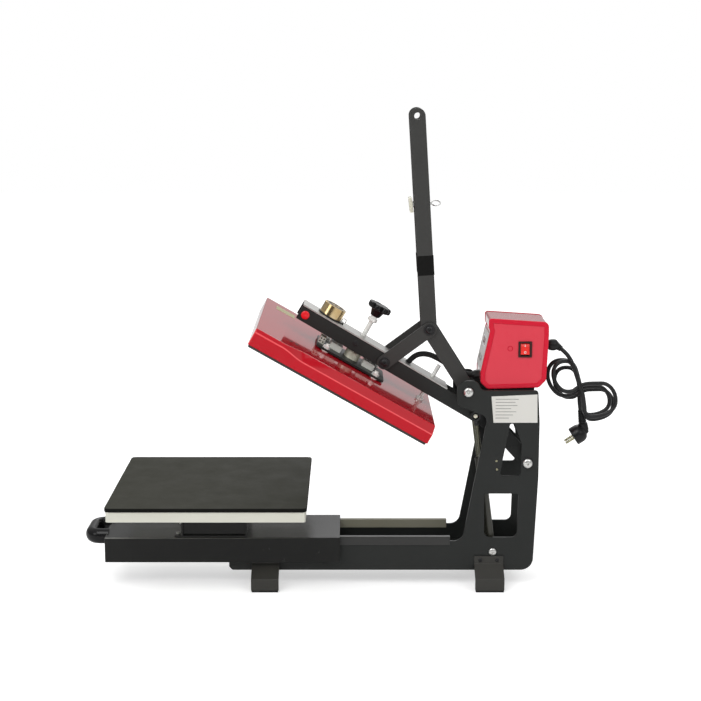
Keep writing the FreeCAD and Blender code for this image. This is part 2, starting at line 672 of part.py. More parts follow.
def make_arm_fittings():
    """What the arm carries: magnet, pins with their heads, red caps and the screw's nut block."""
    base = upright(MAGNET_DIAMETER / 2 + 2.0, MAGNET_X, 0, PLATE_TOP_Z, PLATE_TOP_Z + MAGNET_BASE)
    lug_x = MAGNET_X + MAGNET_DIAMETER / 2 + 5.0
    lug_z = PLATE_TOP_Z + 8.0
    ring = across(5.4, (lug_x, lug_z), -9.2, -6.8).cut(across(3.0, (lug_x, lug_z), -10.0, -6.0))
    strip = box(lug_x - 14.0, lug_x + 2.0, -12.0, -4.0, PLATE_TOP_Z, PLATE_TOP_Z + 2.0)
    post = upright(1.4, lug_x, -8.0, PLATE_TOP_Z, lug_z - 4.0)
    export("magnet_base", *on_arm(join(base, strip, post, ring)))

    z0 = PLATE_TOP_Z + MAGNET_BASE
    z1 = z0 + MAGNET_HEIGHT
    can = upright(MAGNET_DIAMETER / 2, MAGNET_X, 0, z0, z1)
    can = can.makeChamfer(0.8, round_edges(can, z1))
    groove = upright(16.5, MAGNET_X, 0, z1 - 1.0, z1 + 1.0).cut(
        upright(9.0, MAGNET_X, 0, z1 - 2.0, z1 + 2.0))
    export("electromagnet", *on_arm(can.cut(groove)))

    pins = [across(SMALL_PIN / 2, FRONT_PIN, -ARM_OUT, ARM_OUT)]
    nut_pin_end = -ARM_IN + 12.0
    pins += both(join(across(SMALL_PIN / 2, NUT_PIN, -ARM_OUT, nut_pin_end),
                      near_head(5.5, 2.2, NUT_PIN, -ARM_OUT)))
    washer = across(11.0, LINK_AT, -LINK_OUT - 1.6, -LINK_OUT - 0.2)
    ends = both(join(washer, near_head(7.5, 5.0, LINK_AT, -LINK_OUT - 1.6)))
    pins.append(join(across(SMALL_PIN / 2, LINK_AT, -LINK_OUT - 1.0, LINK_OUT + 1.0), *ends))
    eye = STRUT_EYE / 2
    shank = across(SMALL_PIN / 2, STRUT_AT, -STRUT_Y - eye - 0.2, -ARM_IN)
    pins += both(join(shank, across(7.0, STRUT_AT, -STRUT_Y + eye + SEAT, -ARM_OUT)))
    export("arm_pins", *on_arm(*pins))
    export("arm_pin_caps", *on_arm(*both(near_head(6.5, 3.0, FRONT_PIN, -ARM_OUT))))

    block = box(SCREW_X - 15.0, SCREW_X + 15.0, -ARM_IN, ARM_IN, BAR_BOTTOM_Z + 10.0, BAR_TOP_Z)
    sockets = both(across(SMALL_PIN / 2 + RUNNING, NUT_PIN, -ARM_IN, nut_pin_end))
    block = cut(block, square_to_platen(SCREW / 2 + RUNNING, SCREW_X), *sockets)
    export("pressure_nut", *on_arm(block))


def cover_station(x, half, top, run, drop, bottom):
    """The cover's outline across the press: upright walls and sloped shoulders."""
    shoulder = top - drop
    return Part.makePolygon([V(x, -half, bottom), V(x, -half, shoulder), V(x, -half + run, top),
                             V(x, half - run, top), V(x, half, shoulder), V(x, half, bottom),
                             V(x, -half, bottom)])


def cover_form(inset):
    """The cover's outer form, or its hollow when inset by the sheet."""
    half = PLATEN / 2 - inset
    x0 = PLATEN_MIDDLE_X - half
    x1 = PLATEN_MIDDLE_X + half
    bottom = HEAT_FACE_Z + (COVER_REVEAL if inset == 0 else 0.0)
    top = COVER_TOP_Z - inset
    front, rear = (6.0, 7.0), (24.0, 13.0)
    stations = [(x0, front), (x0 + 58.0, front), (x0 + 104.0, rear), (x1, rear)]
    spans = []
    for (xa, a), (xb, b) in zip(stations, stations[1:]):
        wires = [cover_station(xa, half, top, *a, bottom), cover_station(xb, half, top, *b, bottom)]
        spans.append(Part.makeLoft(wires, True, True))
    form = join(*spans)
    slope = 5.0
    for x, side in ((x0, 1.0), (x1, -1.0)):
        wedge = [(x - side, top + 1.0, 0), (x + side * slope, top + 1.0, 0),
                 (x + side * slope, top, 0), (x, top - slope, 0), (x - side, top - slope, 0)]
        form = form.cut(plate(wedge, -PLATEN, PLATEN))
    return form


def make_platen():
    """The heated platen: heating plate, insulation, red cover and the tubes that hold it."""
    half = PLATEN / 2
    x0, x1 = PLATEN_MIDDLE_X - half, PLATEN_MIDDLE_X + half
    rim = COVER_WALL + SEAT
    hot = box(x0 + rim, x1 - rim, -half + rim, half - rim, HEAT_FACE_Z, HOT_TOP_Z)
    hot = hot.makeFillet(4.0, upright_edges(hot, 10.0))
    sockets = [upright(STUD / 2, x, y, STUD_FOOT_Z, HOT_TOP_Z + 1.0) for x, y in STUDS]
    sockets.append(upright(GUIDE / 2, GUIDE_X, 0, STUD_FOOT_Z, HOT_TOP_Z + 1.0))
    export("heating_plate", *on_platen(cut(hot, *sockets)))

    tube = STANDOFF / 2
    wool = box(x0 + 14.0, x1 - 14.0, -half + 32.0, half - 32.0, HOT_TOP_Z + SEAT, HOT_TOP_Z + 6.0)
    holes = [upright(tube + 1.0, x, y, HEAT_FACE_Z, COVER_TOP_Z) for x, y in STUDS]
    holes.append(upright(tube + 1.0, GUIDE_X, 0, HEAT_FACE_Z, COVER_TOP_Z))
    export("insulation_sheet", *on_platen(cut(wool, *holes)))

    high = COVER_TOP_Z + 20.0
    ports = [upright(tube + SEAT, x, y, HOT_TOP_Z, high) for x, y in STUDS]
    ports.append(upright(GUIDE / 2 + SEAT, GUIDE_X, 0, HOT_TOP_Z, high))
    vents = [upright(3.0, x, -130.0, HOT_TOP_Z, high) for x in (x0 + 70.0, x0 + 82.0)]
    cover = cut(cover_form(0.0), cover_form(COVER_WALL), *ports, *vents)
    export("platen_cover", *on_platen(cover))
    tubes = [upright(tube, x, y, HOT_TOP_Z, SPIDER_Z).cut(
        upright(STUD / 2 + 0.1, x, y, HEAT_FACE_Z, high)) for x, y in STUDS]
    export("platen_standoffs", *on_platen(*tubes))


def make_spider():
    """What pushes the platen: the spider plate with its studs, thrust cylinder and guide rod."""
    a, b = SPIDER_LENGTH / 2, SPIDER_WIDTH / 2
    top = SPIDER_TOP_Z
    spider = box(SCREW_X - a, SCREW_X + a, -b, b, SPIDER_Z, top)
    spider = spider.makeFillet(8.0, upright_edges(spider, 2.0))
    holes = [upright(STUD / 2 + 0.2, x, y, SPIDER_Z - 1.0, top + 1.0) for x, y in STUDS]
    export("pressure_spider", *on_platen(cut(spider, *holes)))
    bolts = []
    for x, y in STUDS:
        nut = hexagon(13.0, (x, y, top), (x, y, top + 6.0))
        bolts.append(join(upright(STUD / 2, x, y, STUD_FOOT_Z, top + 9.0), nut))
    export("spider_bolts", *on_platen(*bolts))

    crown = top + THRUST_HEIGHT
    thrust = upright(THRUST / 2, SCREW_X, 0, top, crown)
    thrust = thrust.makeChamfer(1.2, round_edges(thrust, crown))
    thrust = thrust.cut(upright(SCREW / 2 + RUNNING, SCREW_X, 0, top + 4.0, crown + 1.0))
    blocks = [box(x - 12.5, x + 12.5, -20.0, 20.0, top, top + 13.0)
              for x in (SCREW_X - 37.0, SCREW_X + 36.0)]
    export("thrust_blocks", *on_platen(thrust, *blocks))

    x = SCREW_X - a
    ceramic = box(x + 1.0, x + 13.0, -25.0, 3.0, top, top + 14.0)
    holes = [rod(1.7, (hole_x, -26.0, z), (hole_x, -18.0, z))
             for hole_x in (x + 4.0, x + 10.0) for z in (top + 4.0, top + 10.0)]
    export("terminal_block", *on_platen(cut(ceramic, *holes)))
    shaft = upright(GUIDE / 2, GUIDE_X, 0, STUD_FOOT_Z, GUIDE_TOP_Z)
    collar = upright(8.0, GUIDE_X, 0, COVER_TOP_Z, COVER_TOP_Z + 5.0)
    export("guide_rod", *on_platen(join(shaft, collar)))


def make_knob():
    """The pressure screw with its lock nut and its lobed knob."""
    foot = SPIDER_TOP_Z + 4.0 + SEAT
    screw = upright(SCREW / 2, SCREW_X, 0, foot, KNOB_Z + 4.0)
    nut = join(hexagon(17.0, (SCREW_X, 0, KNOB_Z - 11.0), (SCREW_X, 0, KNOB_Z - 4.0)),
               upright(6.8, SCREW_X, 0, KNOB_Z - 4.0, KNOB_Z))
    export("pressure_screw", *on_platen(screw, nut.cut(screw)))
    disc_z = KNOB_Z + 14.0
    top = KNOB_Z + 26.0
    disc = upright(KNOB / 2, SCREW_X, 0, disc_z, top)
    disc = disc.makeChamfer(2.0, round_edges(disc, disc_z) + round_edges(disc, top))
    hub = Part.makeCone(9.5, 15.0, disc_z - KNOB_Z + 3.0, V(SCREW_X, 0, KNOB_Z), V(0, 0, 1))
    socket = upright(SCREW / 2, SCREW_X, 0, KNOB_Z - 1.0, KNOB_Z + 4.0)
    scallops = []
    for i in range(KNOB_LOBES):
        angle = 2 * math.pi * (i + 0.5) / KNOB_LOBES
        x = SCREW_X + (KNOB / 2 + 2.2) * math.cos(angle)
        y = (KNOB / 2 + 2.2) * math.sin(angle)
        scallops.append(upright(6.6, x, y, disc_z - 1.0, top + 1.0))
    export("pressure_knob", *on_platen(cut(join(disc, hub), socket, *scallops)))


def make_handle():
    """The handle: two bars bent at the knee, with the steel plate that the magnet holds."""
    half = HANDLE_BAR_WIDTH / 2
    tip = along(KNEE, HANDLE_HEADING, HANDLE_LENGTH)
    upper = bar(KNEE, tip, half, half, -ARM_OUT, -ARM_IN)
    leg = bar(HANDLE_PIVOT, KNEE, LEG_WIDTH / 2, half, -ARM_OUT, -ARM_IN)
    near = cut(join(upper, leg), pin_hole(GRIP_HOLE, tip, 0), pin_hole(MAIN_PIN, HANDLE_PIVOT),
               pin_hole(SMALL_PIN, KNEE))
    export("handle_bars", *both(near))
    stub = join(across(SMALL_PIN / 2, KNEE, -ARM_OUT, -ARM_IN),
                across(7.0, KNEE, -ARM_IN, -ARM_IN + 4.0))
    export("knee_pins", *both(stub))

    s = ARMATURE_AT
    back = ARMATURE_FACE - ARMATURE_THICK
    block = slab(KNEE, HANDLE_HEADING, s - 9.0, s + 9.0, -7.0, 7.0, -ARM_IN, ARM_IN)
    lug = slab(KNEE, HANDLE_HEADING, s - 24.0, s - 5.0, 3.0, 7.0, -12.0, 12.0)
    bore = square_rod(KNEE, HANDLE_HEADING, 3.1, s, 0, -40.0, 40.0)
    export("armature_crossbar", join(block, lug).cut(bore))
    middle = along(KNEE, HANDLE_HEADING, s, ARMATURE_FACE - ARMATURE_THICK / 2)
    flush = 90.0 - ARM_RISE - HANDLE_LEAN - HANDLE_SWING
    steel = slab(KNEE, HANDLE_HEADING, s - 14.0, s + 14.0, back, ARMATURE_FACE - SEAT, -20.0, 20.0)
    steel = turn(steel, flush, middle)
    export("armature", steel)
    shank = square_rod(KNEE, HANDLE_HEADING, 3.0, s, 0, -half - 4.0, back + 1.0)
    sleeve = square_rod(KNEE, HANDLE_HEADING, 6.0, s, 0, 7.0, back + 1.0)
    x, z = along(KNEE, HANDLE_HEADING, s, -half - 12.0)
    tilt = V(0, 0.3, 1).normalize()
    middle = V(x, 0, z)
    eye = rod(10.1, middle - tilt * 1.6, middle + tilt * 1.6).cut(
        rod(6.9, middle - tilt * 2.0, middle + tilt * 2.0))
    export("armature_eye_bolt", join(shank, sleeve, eye).cut(steel))

    outer = slab(KNEE, HANDLE_HEADING, 105.0, 143.0, -half - 0.8, half + 0.8,
                 -ARM_OUT - 0.3, -ARM_IN + 0.3)
    inner = slab(KNEE, HANDLE_HEADING, 100.0, 150.0, -half, half, -ARM_OUT, -ARM_IN)
    export("handle_sleeves", *both(outer.cut(inner)))


def make_links():
    """The two links from the arm up to the knee, and the caps on their upper ends."""
    near = bar(LINK_PIVOT, KNEE, LINK_WIDTH / 2, LINK_WIDTH / 2, -LINK_OUT, -LINK_IN)
    plug = SMALL_PIN / 2 + 1.0
    near = cut(near, pin_hole(SMALL_PIN, LINK_PIVOT), across(plug + RUNNING, KNEE, -HALF, 0))
    export("toggle_links", *both(near))
    cap = join(across(11.0, KNEE, -LINK_OUT - 1.6, -LINK_OUT),
               across(plug, KNEE, -LINK_OUT, -LINK_IN - 0.2),
               near_head(7.5, 5.0, KNEE, -LINK_OUT - 1.6))
    export("knee_caps", *both(cap))


def make_struts():
    """Two gas struts inside the tower: tubes on the frame, rods on the arm."""
    direction = heading(STRUT_FOOT, STRUT_HEAD)

    def at(distance):
        x, z = along(STRUT_FOOT, direction, distance)
        return (x, -STRUT_Y, z)

    eye = STRUT_EYE / 2
    tube = join(rod(STRUT_TUBE / 2, at(11.0), at(STRUT_TUBE_LENGTH)),
                across(8.5, STRUT_FOOT, -STRUT_Y - eye, -STRUT_Y + eye),
                rod(eye - 0.6, at(5.5), at(13.0)))
    tube = cut(tube, pin_hole(SMALL_PIN, STRUT_FOOT),
               rod(STRUT_ROD / 2 + RUNNING, at(40.0), at(STRUT_TUBE_LENGTH + 1.0)))
    export("strut_tubes", *both(tube))
    ring = across(10.0, STRUT_HEAD, -STRUT_Y - eye, -STRUT_Y + eye)
    shaft = rod(STRUT_ROD / 2, at(STRUT_TUBE_LENGTH - 65.0), at(STRUT_OPEN - 8.5))
    piston = join(shaft, ring).cut(pin_hole(SMALL_PIN, STRUT_HEAD, STRUT_PLAY))
    export("strut_rods", *both(piston))


def box_outline():
    """Side view of the control box: a lip over a leaning front, and a cut-off heel at the rear."""
    front, rear, foot = BOX_FRONT_X, BOX_REAR_X, BOX_FOOT_Z
    lip = front + 14.5
    return [(front + 13.5, foot, 10.0), (front, foot + 13.5, 7.0), (*PANEL_FOOT, 12.0),
            (*PANEL_HEAD, 4.0), (lip, foot + 120.0, 2.0), (lip, foot + 139.0, 6.0),
            (rear - 0.5, foot + 131.5, 11.0), (rear, foot + 106.0, 30.0),
            (rear - 3.5, foot + 18.0, 9.0), (rear - 17.5, foot + 3.0, 9.0)]


def make_control_box():
    """The control box: wrap, side covers, front panel, display, board and label."""
    outline = box_outline()
    wrap = plate(outline, -BOX_IN, BOX_IN, BOX_STEP).cut(
        plate(outline, -BOX_IN - 1.0, BOX_IN + 1.0, BOX_STEP + BOX_WALL))
    x0, x1 = 352.0, 428.0
    sole = TOWER_TOP_Z - 8.0
    foot = plate([(x0, sole + 2.0, 0), (x1, sole + 2.0, 0), (x1, BOX_FOOT_Z + 4.2, 0),
                  (x0, BOX_FOOT_Z + 2.2, 0)], -BOX_IN, BOX_IN)
    base = box(x0, x1, -INNER, INNER, sole, sole + 3.0)
    flanges = both(box(x0, x1, -INNER, -INNER + 3.0, sole - 14.0, sole + 3.0))
    z = CONNECTOR_AT[1]
    connector_hole = rod(9.3, (BOX_REAR_X - 25.0, CORD_Y, z), (BOX_REAR_X + 5.0, CORD_Y, z))
    conduit_hole = rod(CONDUIT / 2 + 0.4, (BOX_FRONT_X - 5.0, 0, CONDUIT_Z),
                       (BOX_FRONT_X + 10.0, 0, CONDUIT_Z))
    window = slab(PANEL_FOOT, PANEL_HEADING, 44.0, 66.0, -6.0, 4.0, -24.0, 24.0)
    holes = [square_rod(PANEL_FOOT, PANEL_HEADING, BUTTON / 2 + RUNNING, s, y, -8.0, 4.0)
             for s, y in BUTTONS]
    shell = cut(join(wrap, foot, base, *flanges), connector_hole, conduit_hole, window, *holes)
    export("box_shell", shell)

    cover = plate(outline, -BOX_HALF, -BOX_IN).cut(
        plate(outline, -BOX_HALF - 1.0, -BOX_HALF + BORDER_DEPTH, BORDER))
    x, z = SWITCH_AT
    w, h = SWITCH_WIDTH / 2 - 1.8, SWITCH_HEIGHT / 2 - 1.8
    hole = box(x - w, x + w, -BOX_HALF - 1.0, -BOX_IN + 1.0, z - h, z + h)
    mark = (x - 28.5, z + 1.5)
    ring = across(5.0, mark, -BOX_HALF, -BOX_HALF + BORDER_DEPTH + 0.5).cut(
        across(4.2, mark, -BOX_HALF - 1.0, -BOX_IN))
    export("box_covers", cover.cut(hole).cut(ring), far(cover))

    face = PANEL - BOX_STEP
    panel = slab(PANEL_FOOT, PANEL_HEADING, 3.0, 76.0, -BOX_STEP, face, -BOX_IN + 1.0, BOX_IN - 1.0)
    export("front_panel", cut(panel, window, *holes))
    glass = slab(PANEL_FOOT, PANEL_HEADING, 44.0 + SEAT, 66.0 - SEAT, -BOX_STEP - BOX_WALL,
                 face - SEAT, -24.0 + SEAT, 24.0 - SEAT)
    export("display_window", glass)
    board = slab(PANEL_FOOT, PANEL_HEADING, 8.0, 76.0, -19.0, -17.4, -37.0, 37.0)
    posts = [square_rod(PANEL_FOOT, PANEL_HEADING, 2.5, s, y, -18.0, -BOX_STEP - BOX_WALL)
             for s in (12.0, 72.0) for y in (-33.0, 33.0)]
    chips = [slab(PANEL_FOOT, PANEL_HEADING, 20.0, 34.0, -23.0, -18.5, y, y + 14.0)
             for y in (-24.0, 8.0)]
    export("controller_board", join(board, *posts, *chips))
    top = TOWER_TOP_Z
    label = [(343.7, top - 11.6, 1.0), (432.2, top - 7.7, 1.0), (433.5, top - 63.6, 1.0),
             (348.5, top - 63.6, 1.0)]
    export("rating_plate", plate(label, -HALF - 0.4, -HALF))


def make_switches():
    """The rocker switch in the near cover and the two buttons of the panel."""
    x, z = SWITCH_AT
    face = -BOX_HALF + BORDER_DEPTH
    w, h = SWITCH_WIDTH / 2, SWITCH_HEIGHT / 2
    bezel = box(x - w, x + w, face - 2.4, face, z - h, z + h)
    body = box(x - w + 1.9, x + w - 1.9, face, face + 16.0, z - h + 1.9, z + h - 1.9)
    well = box(x - 9.0, x + 9.0, face - 3.0, face + 11.0, z - 12.2, z + 12.2)
    axle_y = face + ROCKER_AXLE_DEPTH
    seats = rod(ROCKER_AXLE / 2 + RUNNING, (x - 10.2, axle_y, z), (x + 10.2, axle_y, z))
    export("switch_housing", join(bezel, body).cut(well).cut(seats))
    points = [(-10.8, face - 1.2), (0.0, face + 0.6), (10.8, face - 1.2), (10.2, face + 3.2),
              (0.0, face + 8.0), (-10.2, face + 3.2)]
    outline = Part.makePolygon([V(x - 8.7, y, z + dz) for dz, y in points + points[:1]])
    rocker = Part.Face(outline).extrude(V(17.4, 0, 0))
    rocker.rotate(V(x, axle_y, z), V(1, 0, 0), -ROCKER_TILT)
    axle = rod(ROCKER_AXLE / 2, (x - 10.0, axle_y, z), (x + 10.0, axle_y, z))
    export("power_rocker", join(rocker, axle))
    inside = -BOX_STEP - BOX_WALL
    for name, (s, y) in zip(("set_button", "timer_button"), BUTTONS):
        stem = square_rod(PANEL_FOOT, PANEL_HEADING, BUTTON / 2, s, y, inside - 2.0, PANEL + 1.6)
        flange = square_rod(PANEL_FOOT, PANEL_HEADING, BUTTON / 2 + 1.5, s, y, inside - 2.0, inside - SEAT)
        export(name, join(stem, flange))


def swept(path, start, direction, radius):
    """A round tube along a path, and its volume as a share of section times length."""
    ring = Part.Wire([Part.Circle(start, direction, radius).toShape()])
    tube = path.makePipeShell([ring], True, False)
    return tube, tube.Volume / (math.pi * radius ** 2 * path.Length)


def routed(name, points, radius):
    """A round tube along straight runs joined by tangent arcs."""
    points = [V(*point) for point in points]
    edges, radii = [], []
    last = points[0]
    for before, here, after in zip(points, points[1:], points[2:]):
        back, on = before - here, after - here
        half_turn = (math.pi - back.getAngle(on)) / 2
        reach = 0.45 * min(back.Length, on.Length)
        bend = reach / math.tan(half_turn)
        radii.append(round(bend, 1))
        first = here + back.normalize() * reach
        end = here + on.normalize() * reach
        inward = (back + on).normalize() * (bend / math.cos(half_turn) - bend)
        edges.append(Part.LineSegment(last, first).toShape())
        edges.append(Part.Arc(first, here + inward, end).toShape())
        last = end
    edges.append(Part.LineSegment(last, points[-1]).toShape())
    path = Part.Wire(edges)
    tube, share = swept(path, points[0], points[1] - points[0], radius)
    print(name, "bend radii", radii, "length", round(path.Length, 1), "volume share", round(share, 4))
    return tube


def make_conduit():
    """The black conduit from the box to the arm, and its gland at the box."""
    wall = BOX_FRONT_X + BOX_STEP
    route = [(168.2, 0, 415.4), (190.0, 0, 449.0), (218.8, 0, 457.3), (252.0, 0, 441.5),
             (290.0, 0, CONDUIT_Z), (wall + BOX_WALL + 3.0, 0, CONDUIT_Z)]
    export("heater_conduit", routed("conduit", route, CONDUIT / 2))
    nose = Part.makeCone(8.0, 10.0, 5.0, V(wall - 14.0, 0, CONDUIT_Z), V(1, 0, 0))
    nut = hexagon(20.0, (wall - 9.0, 0, CONDUIT_Z), (wall, 0, CONDUIT_Z))
    bore = rod(CONDUIT / 2 + 0.1, (wall - 20.0, 0, CONDUIT_Z), (wall + 5.0, 0, CONDUIT_Z))
    export("conduit_gland", join(nose, nut).cut(bore))


def make_lead():
    """The mains lead's first free stretch, with the moulded connector it leaves."""
    export("power_lead", routed("lead", LEAD, CORD / 2))
    x, z = CONNECTOR_AT
    nose = rod(9.0, (x - 22.0, CORD_Y, z), (x - 6.0, CORD_Y, z))
    profile = [(-10.0, 0.0), (-10.0, 5.5), (-5.0, 10.0), (5.0, 10.8), (9.0, 7.0), (9.0, 0.0)]
    outline = Part.makePolygon([V(x + dx, CORD_Y + r, z) for dx, r in profile + profile[:1]])
    head = Part.Face(outline).revolve(V(x, CORD_Y, z), V(1, 0, 0), 360)
    start, after = V(*LEAD[0]), V(*LEAD[1])
    out = (after - start).normalize()
    relief = Part.makeCone(7.5, 5.2, 10.0, start - out * 10.0, out)
    export("power_connector", join(nose, head, relief))


def biarc(p, t, q, u):
    """Two tangent arcs from one point and direction to another, and their radii."""
    chord = q - p
    a = 2.0 * (1.0 - t.dot(u))
    b = chord.dot(t + u)
    reach = (math.sqrt(b * b + a * chord.dot(chord)) - b) / a
    first, second = p + t * reach, q - u * reach
    middle = (first + second) * 0.5
    edges, radii = [], []
    for start, corner, end in ((p, first, middle), (middle, second, q)):
        half = (end - start).Length / 2
        centre = (start + end) * 0.5
        rise = corner - centre
        swing = math.atan2(rise.Length, half)
        crown = centre + rise.normalize() * (half * math.tan(swing / 2))
        edges.append(Part.Arc(start, crown, end).toShape())
        radii.append(half / math.sin(swing))
    return edges, radii


def hank_stations():
    """Points and directions round the figure-of-eight turns, from the front one to the back."""
    climb = HANK_PITCH / 440.0
    stations = []
    for number, (dx, dz, right, left) in enumerate(HANK_TURNS):
        for share, x, z, degrees in HANK_LOOP:
            if number + share == 0:
                continue
            size = right if x > 0 else left
            angle = math.radians(degrees)
            point = V(HANK_CENTRE[0] + dx + x * size, HANK_FRONT_Y + HANK_PITCH * (number + share),
                      HANK_CENTRE[1] + dz + z * size)
            stations.append((point, V(math.cos(angle), climb, math.sin(angle)).normalize()))
    return stations


def self_gap(path, diameter):
    """Least gap between strands of a tube that lie further apart along it than five diameters."""
    step = 2.5
    points = path.discretize(Distance=step)
    apart = int(5 * diameter / step)
    least = min((points[i] - points[j]).Length
                for i in range(len(points)) for j in range(i + apart, len(points)))
    return least - diameter


def make_hank():
    """The spare lead, laid in a loose figure of eight, as one unbroken tube down to the plug."""
    start = V(*LEAD[-1])
    into = (start - V(*LEAD[-2])).normalize()
    top = V(*PLUG_TOP)
    out = (V(*PLUG_ROOT) - top).normalize()
    straight = CORD + 0.5
    stations = [(start + into * straight, into)] + hank_stations() + [(top - out * straight, out)]
    edges = [Part.LineSegment(start, stations[0][0]).toShape()]
    radii = []
    for (p, t), (q, u) in zip(stations, stations[1:]):
        arcs, bends = biarc(p, t, q, u)
        edges += arcs
        radii += bends
    edges.append(Part.LineSegment(stations[-1][0], top).toShape())
    path = Part.Wire(edges)
    hank, share = swept(path, start, into, CORD / 2)
    export("lead_hank", hank)
    print("hank least bend radius", round(min(radii), 1), "length", round(path.Length, 1),
          "volume share", round(share, 4), "gap to itself", round(self_gap(path, CORD), 2))


def make_plug():
    """The angled mains plug: a round body with two pins, and the strain relief on top of it."""
    face, root, top = V(*PLUG_FACE), V(*PLUG_ROOT), V(*PLUG_TOP)
    out = (face - root).normalize()
    depth, heel = 17.0, 10.0
    back = face - out * depth
    drum = Part.makeCylinder(PLUG / 2, depth, back, out)
    taper = Part.makeCone(PLUG / 2 - 6.0, PLUG / 2, heel, back - out * heel, out)
    relief = Part.makeCone(CORD / 2 + 1.2, 9.5, (root - top).Length, top, root - top)
    elbow = rod(9.5, root - V(0, 6.0, 0), root + V(0, 6.0, 0))
    body = join(drum, taper, relief, elbow)
    pins = []
    for side in (-1, 1):
        foot = face + V(0, side * PLUG_PIN_SPACING / 2, 0) - out * 10.0
        pin = Part.makeCylinder(PLUG_PIN / 2, PLUG_PIN_LENGTH + 10.0, foot, out)
        body = body.cut(pin)
        pins.append(pin)
    export("power_plug", body, *pins)


def main():
    """Build every node."""
    os.makedirs("parts", exist_ok=True)
    make_side_plates()
    make_tray()
    make_pivots()
    make_feet()
    make_runners()
    make_drawer()
    make_pull()
    make_pedestal()
    make_lower_platen()
    make_arm_bars()
    make_arm_fittings()
    make_platen()
    make_spider()
    make_knob()
    make_handle()
    make_links()
    make_struts()
    make_control_box()
    make_switches()
    make_conduit()
    make_lead()
    make_hank()
    make_plug()
    print("knee", [round(c, 3) for c in KNEE], "handle swing", round(HANDLE_SWING, 4),
          "link swing on the arm", round(LINK_SWING - PLATEN_TILT, 4))
    print("strut swing", round(STRUT_SWING, 4), "strut stroke", round(STRUT_STROKE, 4))


main()
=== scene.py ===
"""Finished look of the automatic drawer heat press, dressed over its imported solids.

New pieces are drawn in millimetres. +X runs to the rear of the press, +Y away from the side with
the main switch, +Z up. Pieces of the arm and of the heated platen are drawn as they lie when the
press is closed, and are then turned about the arm pivot to where they rest.
"""

import json
import logging
import math
from dataclasses import dataclass
from enum import Enum
from typing import Callable, Optional, Sequence, Union

import bmesh
import bpy
from mathutils import Matrix, Vector

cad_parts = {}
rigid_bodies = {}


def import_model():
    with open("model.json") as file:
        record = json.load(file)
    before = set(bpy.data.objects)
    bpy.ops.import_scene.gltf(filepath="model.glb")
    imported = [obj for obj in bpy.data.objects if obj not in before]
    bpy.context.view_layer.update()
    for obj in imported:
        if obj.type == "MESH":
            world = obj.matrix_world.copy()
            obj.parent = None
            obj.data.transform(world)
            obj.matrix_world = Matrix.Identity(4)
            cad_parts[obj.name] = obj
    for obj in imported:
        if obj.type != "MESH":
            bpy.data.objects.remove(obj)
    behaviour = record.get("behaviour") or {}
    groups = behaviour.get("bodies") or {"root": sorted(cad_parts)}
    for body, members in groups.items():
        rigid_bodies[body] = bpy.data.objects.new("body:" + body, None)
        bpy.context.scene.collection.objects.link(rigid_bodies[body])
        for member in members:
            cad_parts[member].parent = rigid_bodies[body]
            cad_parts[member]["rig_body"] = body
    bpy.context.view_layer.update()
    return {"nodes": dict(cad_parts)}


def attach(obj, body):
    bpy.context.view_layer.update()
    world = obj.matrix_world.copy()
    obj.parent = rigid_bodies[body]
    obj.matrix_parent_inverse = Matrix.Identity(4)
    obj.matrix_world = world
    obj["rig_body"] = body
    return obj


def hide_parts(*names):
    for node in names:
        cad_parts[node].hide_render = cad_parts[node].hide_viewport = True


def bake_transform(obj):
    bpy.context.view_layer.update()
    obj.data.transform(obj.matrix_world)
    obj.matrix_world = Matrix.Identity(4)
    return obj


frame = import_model()

log = logging.getLogger("heat_press")

Spot = tuple[float, float]
Point = tuple[float, float, float]
Colour = tuple[float, float, float]
Vert, Edge, Face = bmesh.types.BMVert, bmesh.types.BMEdge, bmesh.types.BMFace
Tree, Node, Object = bpy.types.NodeTree, bpy.types.Node, bpy.types.Object
Values = dict[Union[str, int], object]
Nodes = dict[str, tuple[str, Values]]
EdgeTest = Callable[[Edge], bool]

MM = 0.001
ARM_PIVOT = (416.0, 250.0)
HANDLE_PIVOT = (299.0, 391.0)
LINK_PIVOT = (137.4, 444.3)
KNEE = (224.021, 508.637)
STRUT_FOOT = (351.0, 70.0)
STRUT_HEAD = (315.0, 340.0)
STRUT_OUT = 43.5
PLATEN_TILT = 29.7
ARM_TILT = 30.7
HALF_FRAME = 60.0
LINK_OUT = 36.4
SCREW_X = 19.5
WHITE = (1.0, 1.0, 1.0, 1.0)
UP = (0.0, 0.0, 1.0)
ORIGIN = (0.0, 0.0, 0.0)
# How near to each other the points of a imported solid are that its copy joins, in millimetres,
# and up to how many degrees a fold of it counts as flat.
WELD = 0.002
FLAT = 0.7


class Side(Enum):
    """The two sides of the press."""

    NEAR = -1
    FAR = 1


class Relief(Enum):
    """The fine relief that a finish shows close up: its scale, detail and stretch."""

    POWDER = (1500.0, 2.0, (1.0, 1.0, 1.0))
    SMOOTH = (220.0, 1.0, (1.0, 1.0, 1.0))
    MOULDED = (2600.0, 3.0, (1.0, 1.0, 1.0))
    BRUSHED = (900.0, 4.0, (0.04, 1.0, 1.0))
    CAST = (700.0, 5.0, (1.0, 1.0, 1.0))
    FIBRE = (420.0, 8.0, (1.0, 0.35, 1.0))


def turned(degrees: float) -> Matrix:
    """Turn about the arm pivot, positive raising the front, in millimetres."""
    pivot = Vector((ARM_PIVOT[0], 0.0, ARM_PIVOT[1]))
    spin = Matrix.Rotation(math.radians(degrees), 4, "Y")
    return Matrix.Translation(pivot) @ spin @ Matrix.Translation(-pivot)


MAGNET_X = -57.0
ARM_TOP = 293.2
ON_ARM = turned(ARM_TILT)
ON_PLATEN = turned(PLATEN_TILT)
AS_DRAWN = Matrix.Identity(4)
MAGNET_AXIS = tuple(ON_ARM @ Vector((MAGNET_X, 0.0, ARM_TOP)) * MM)


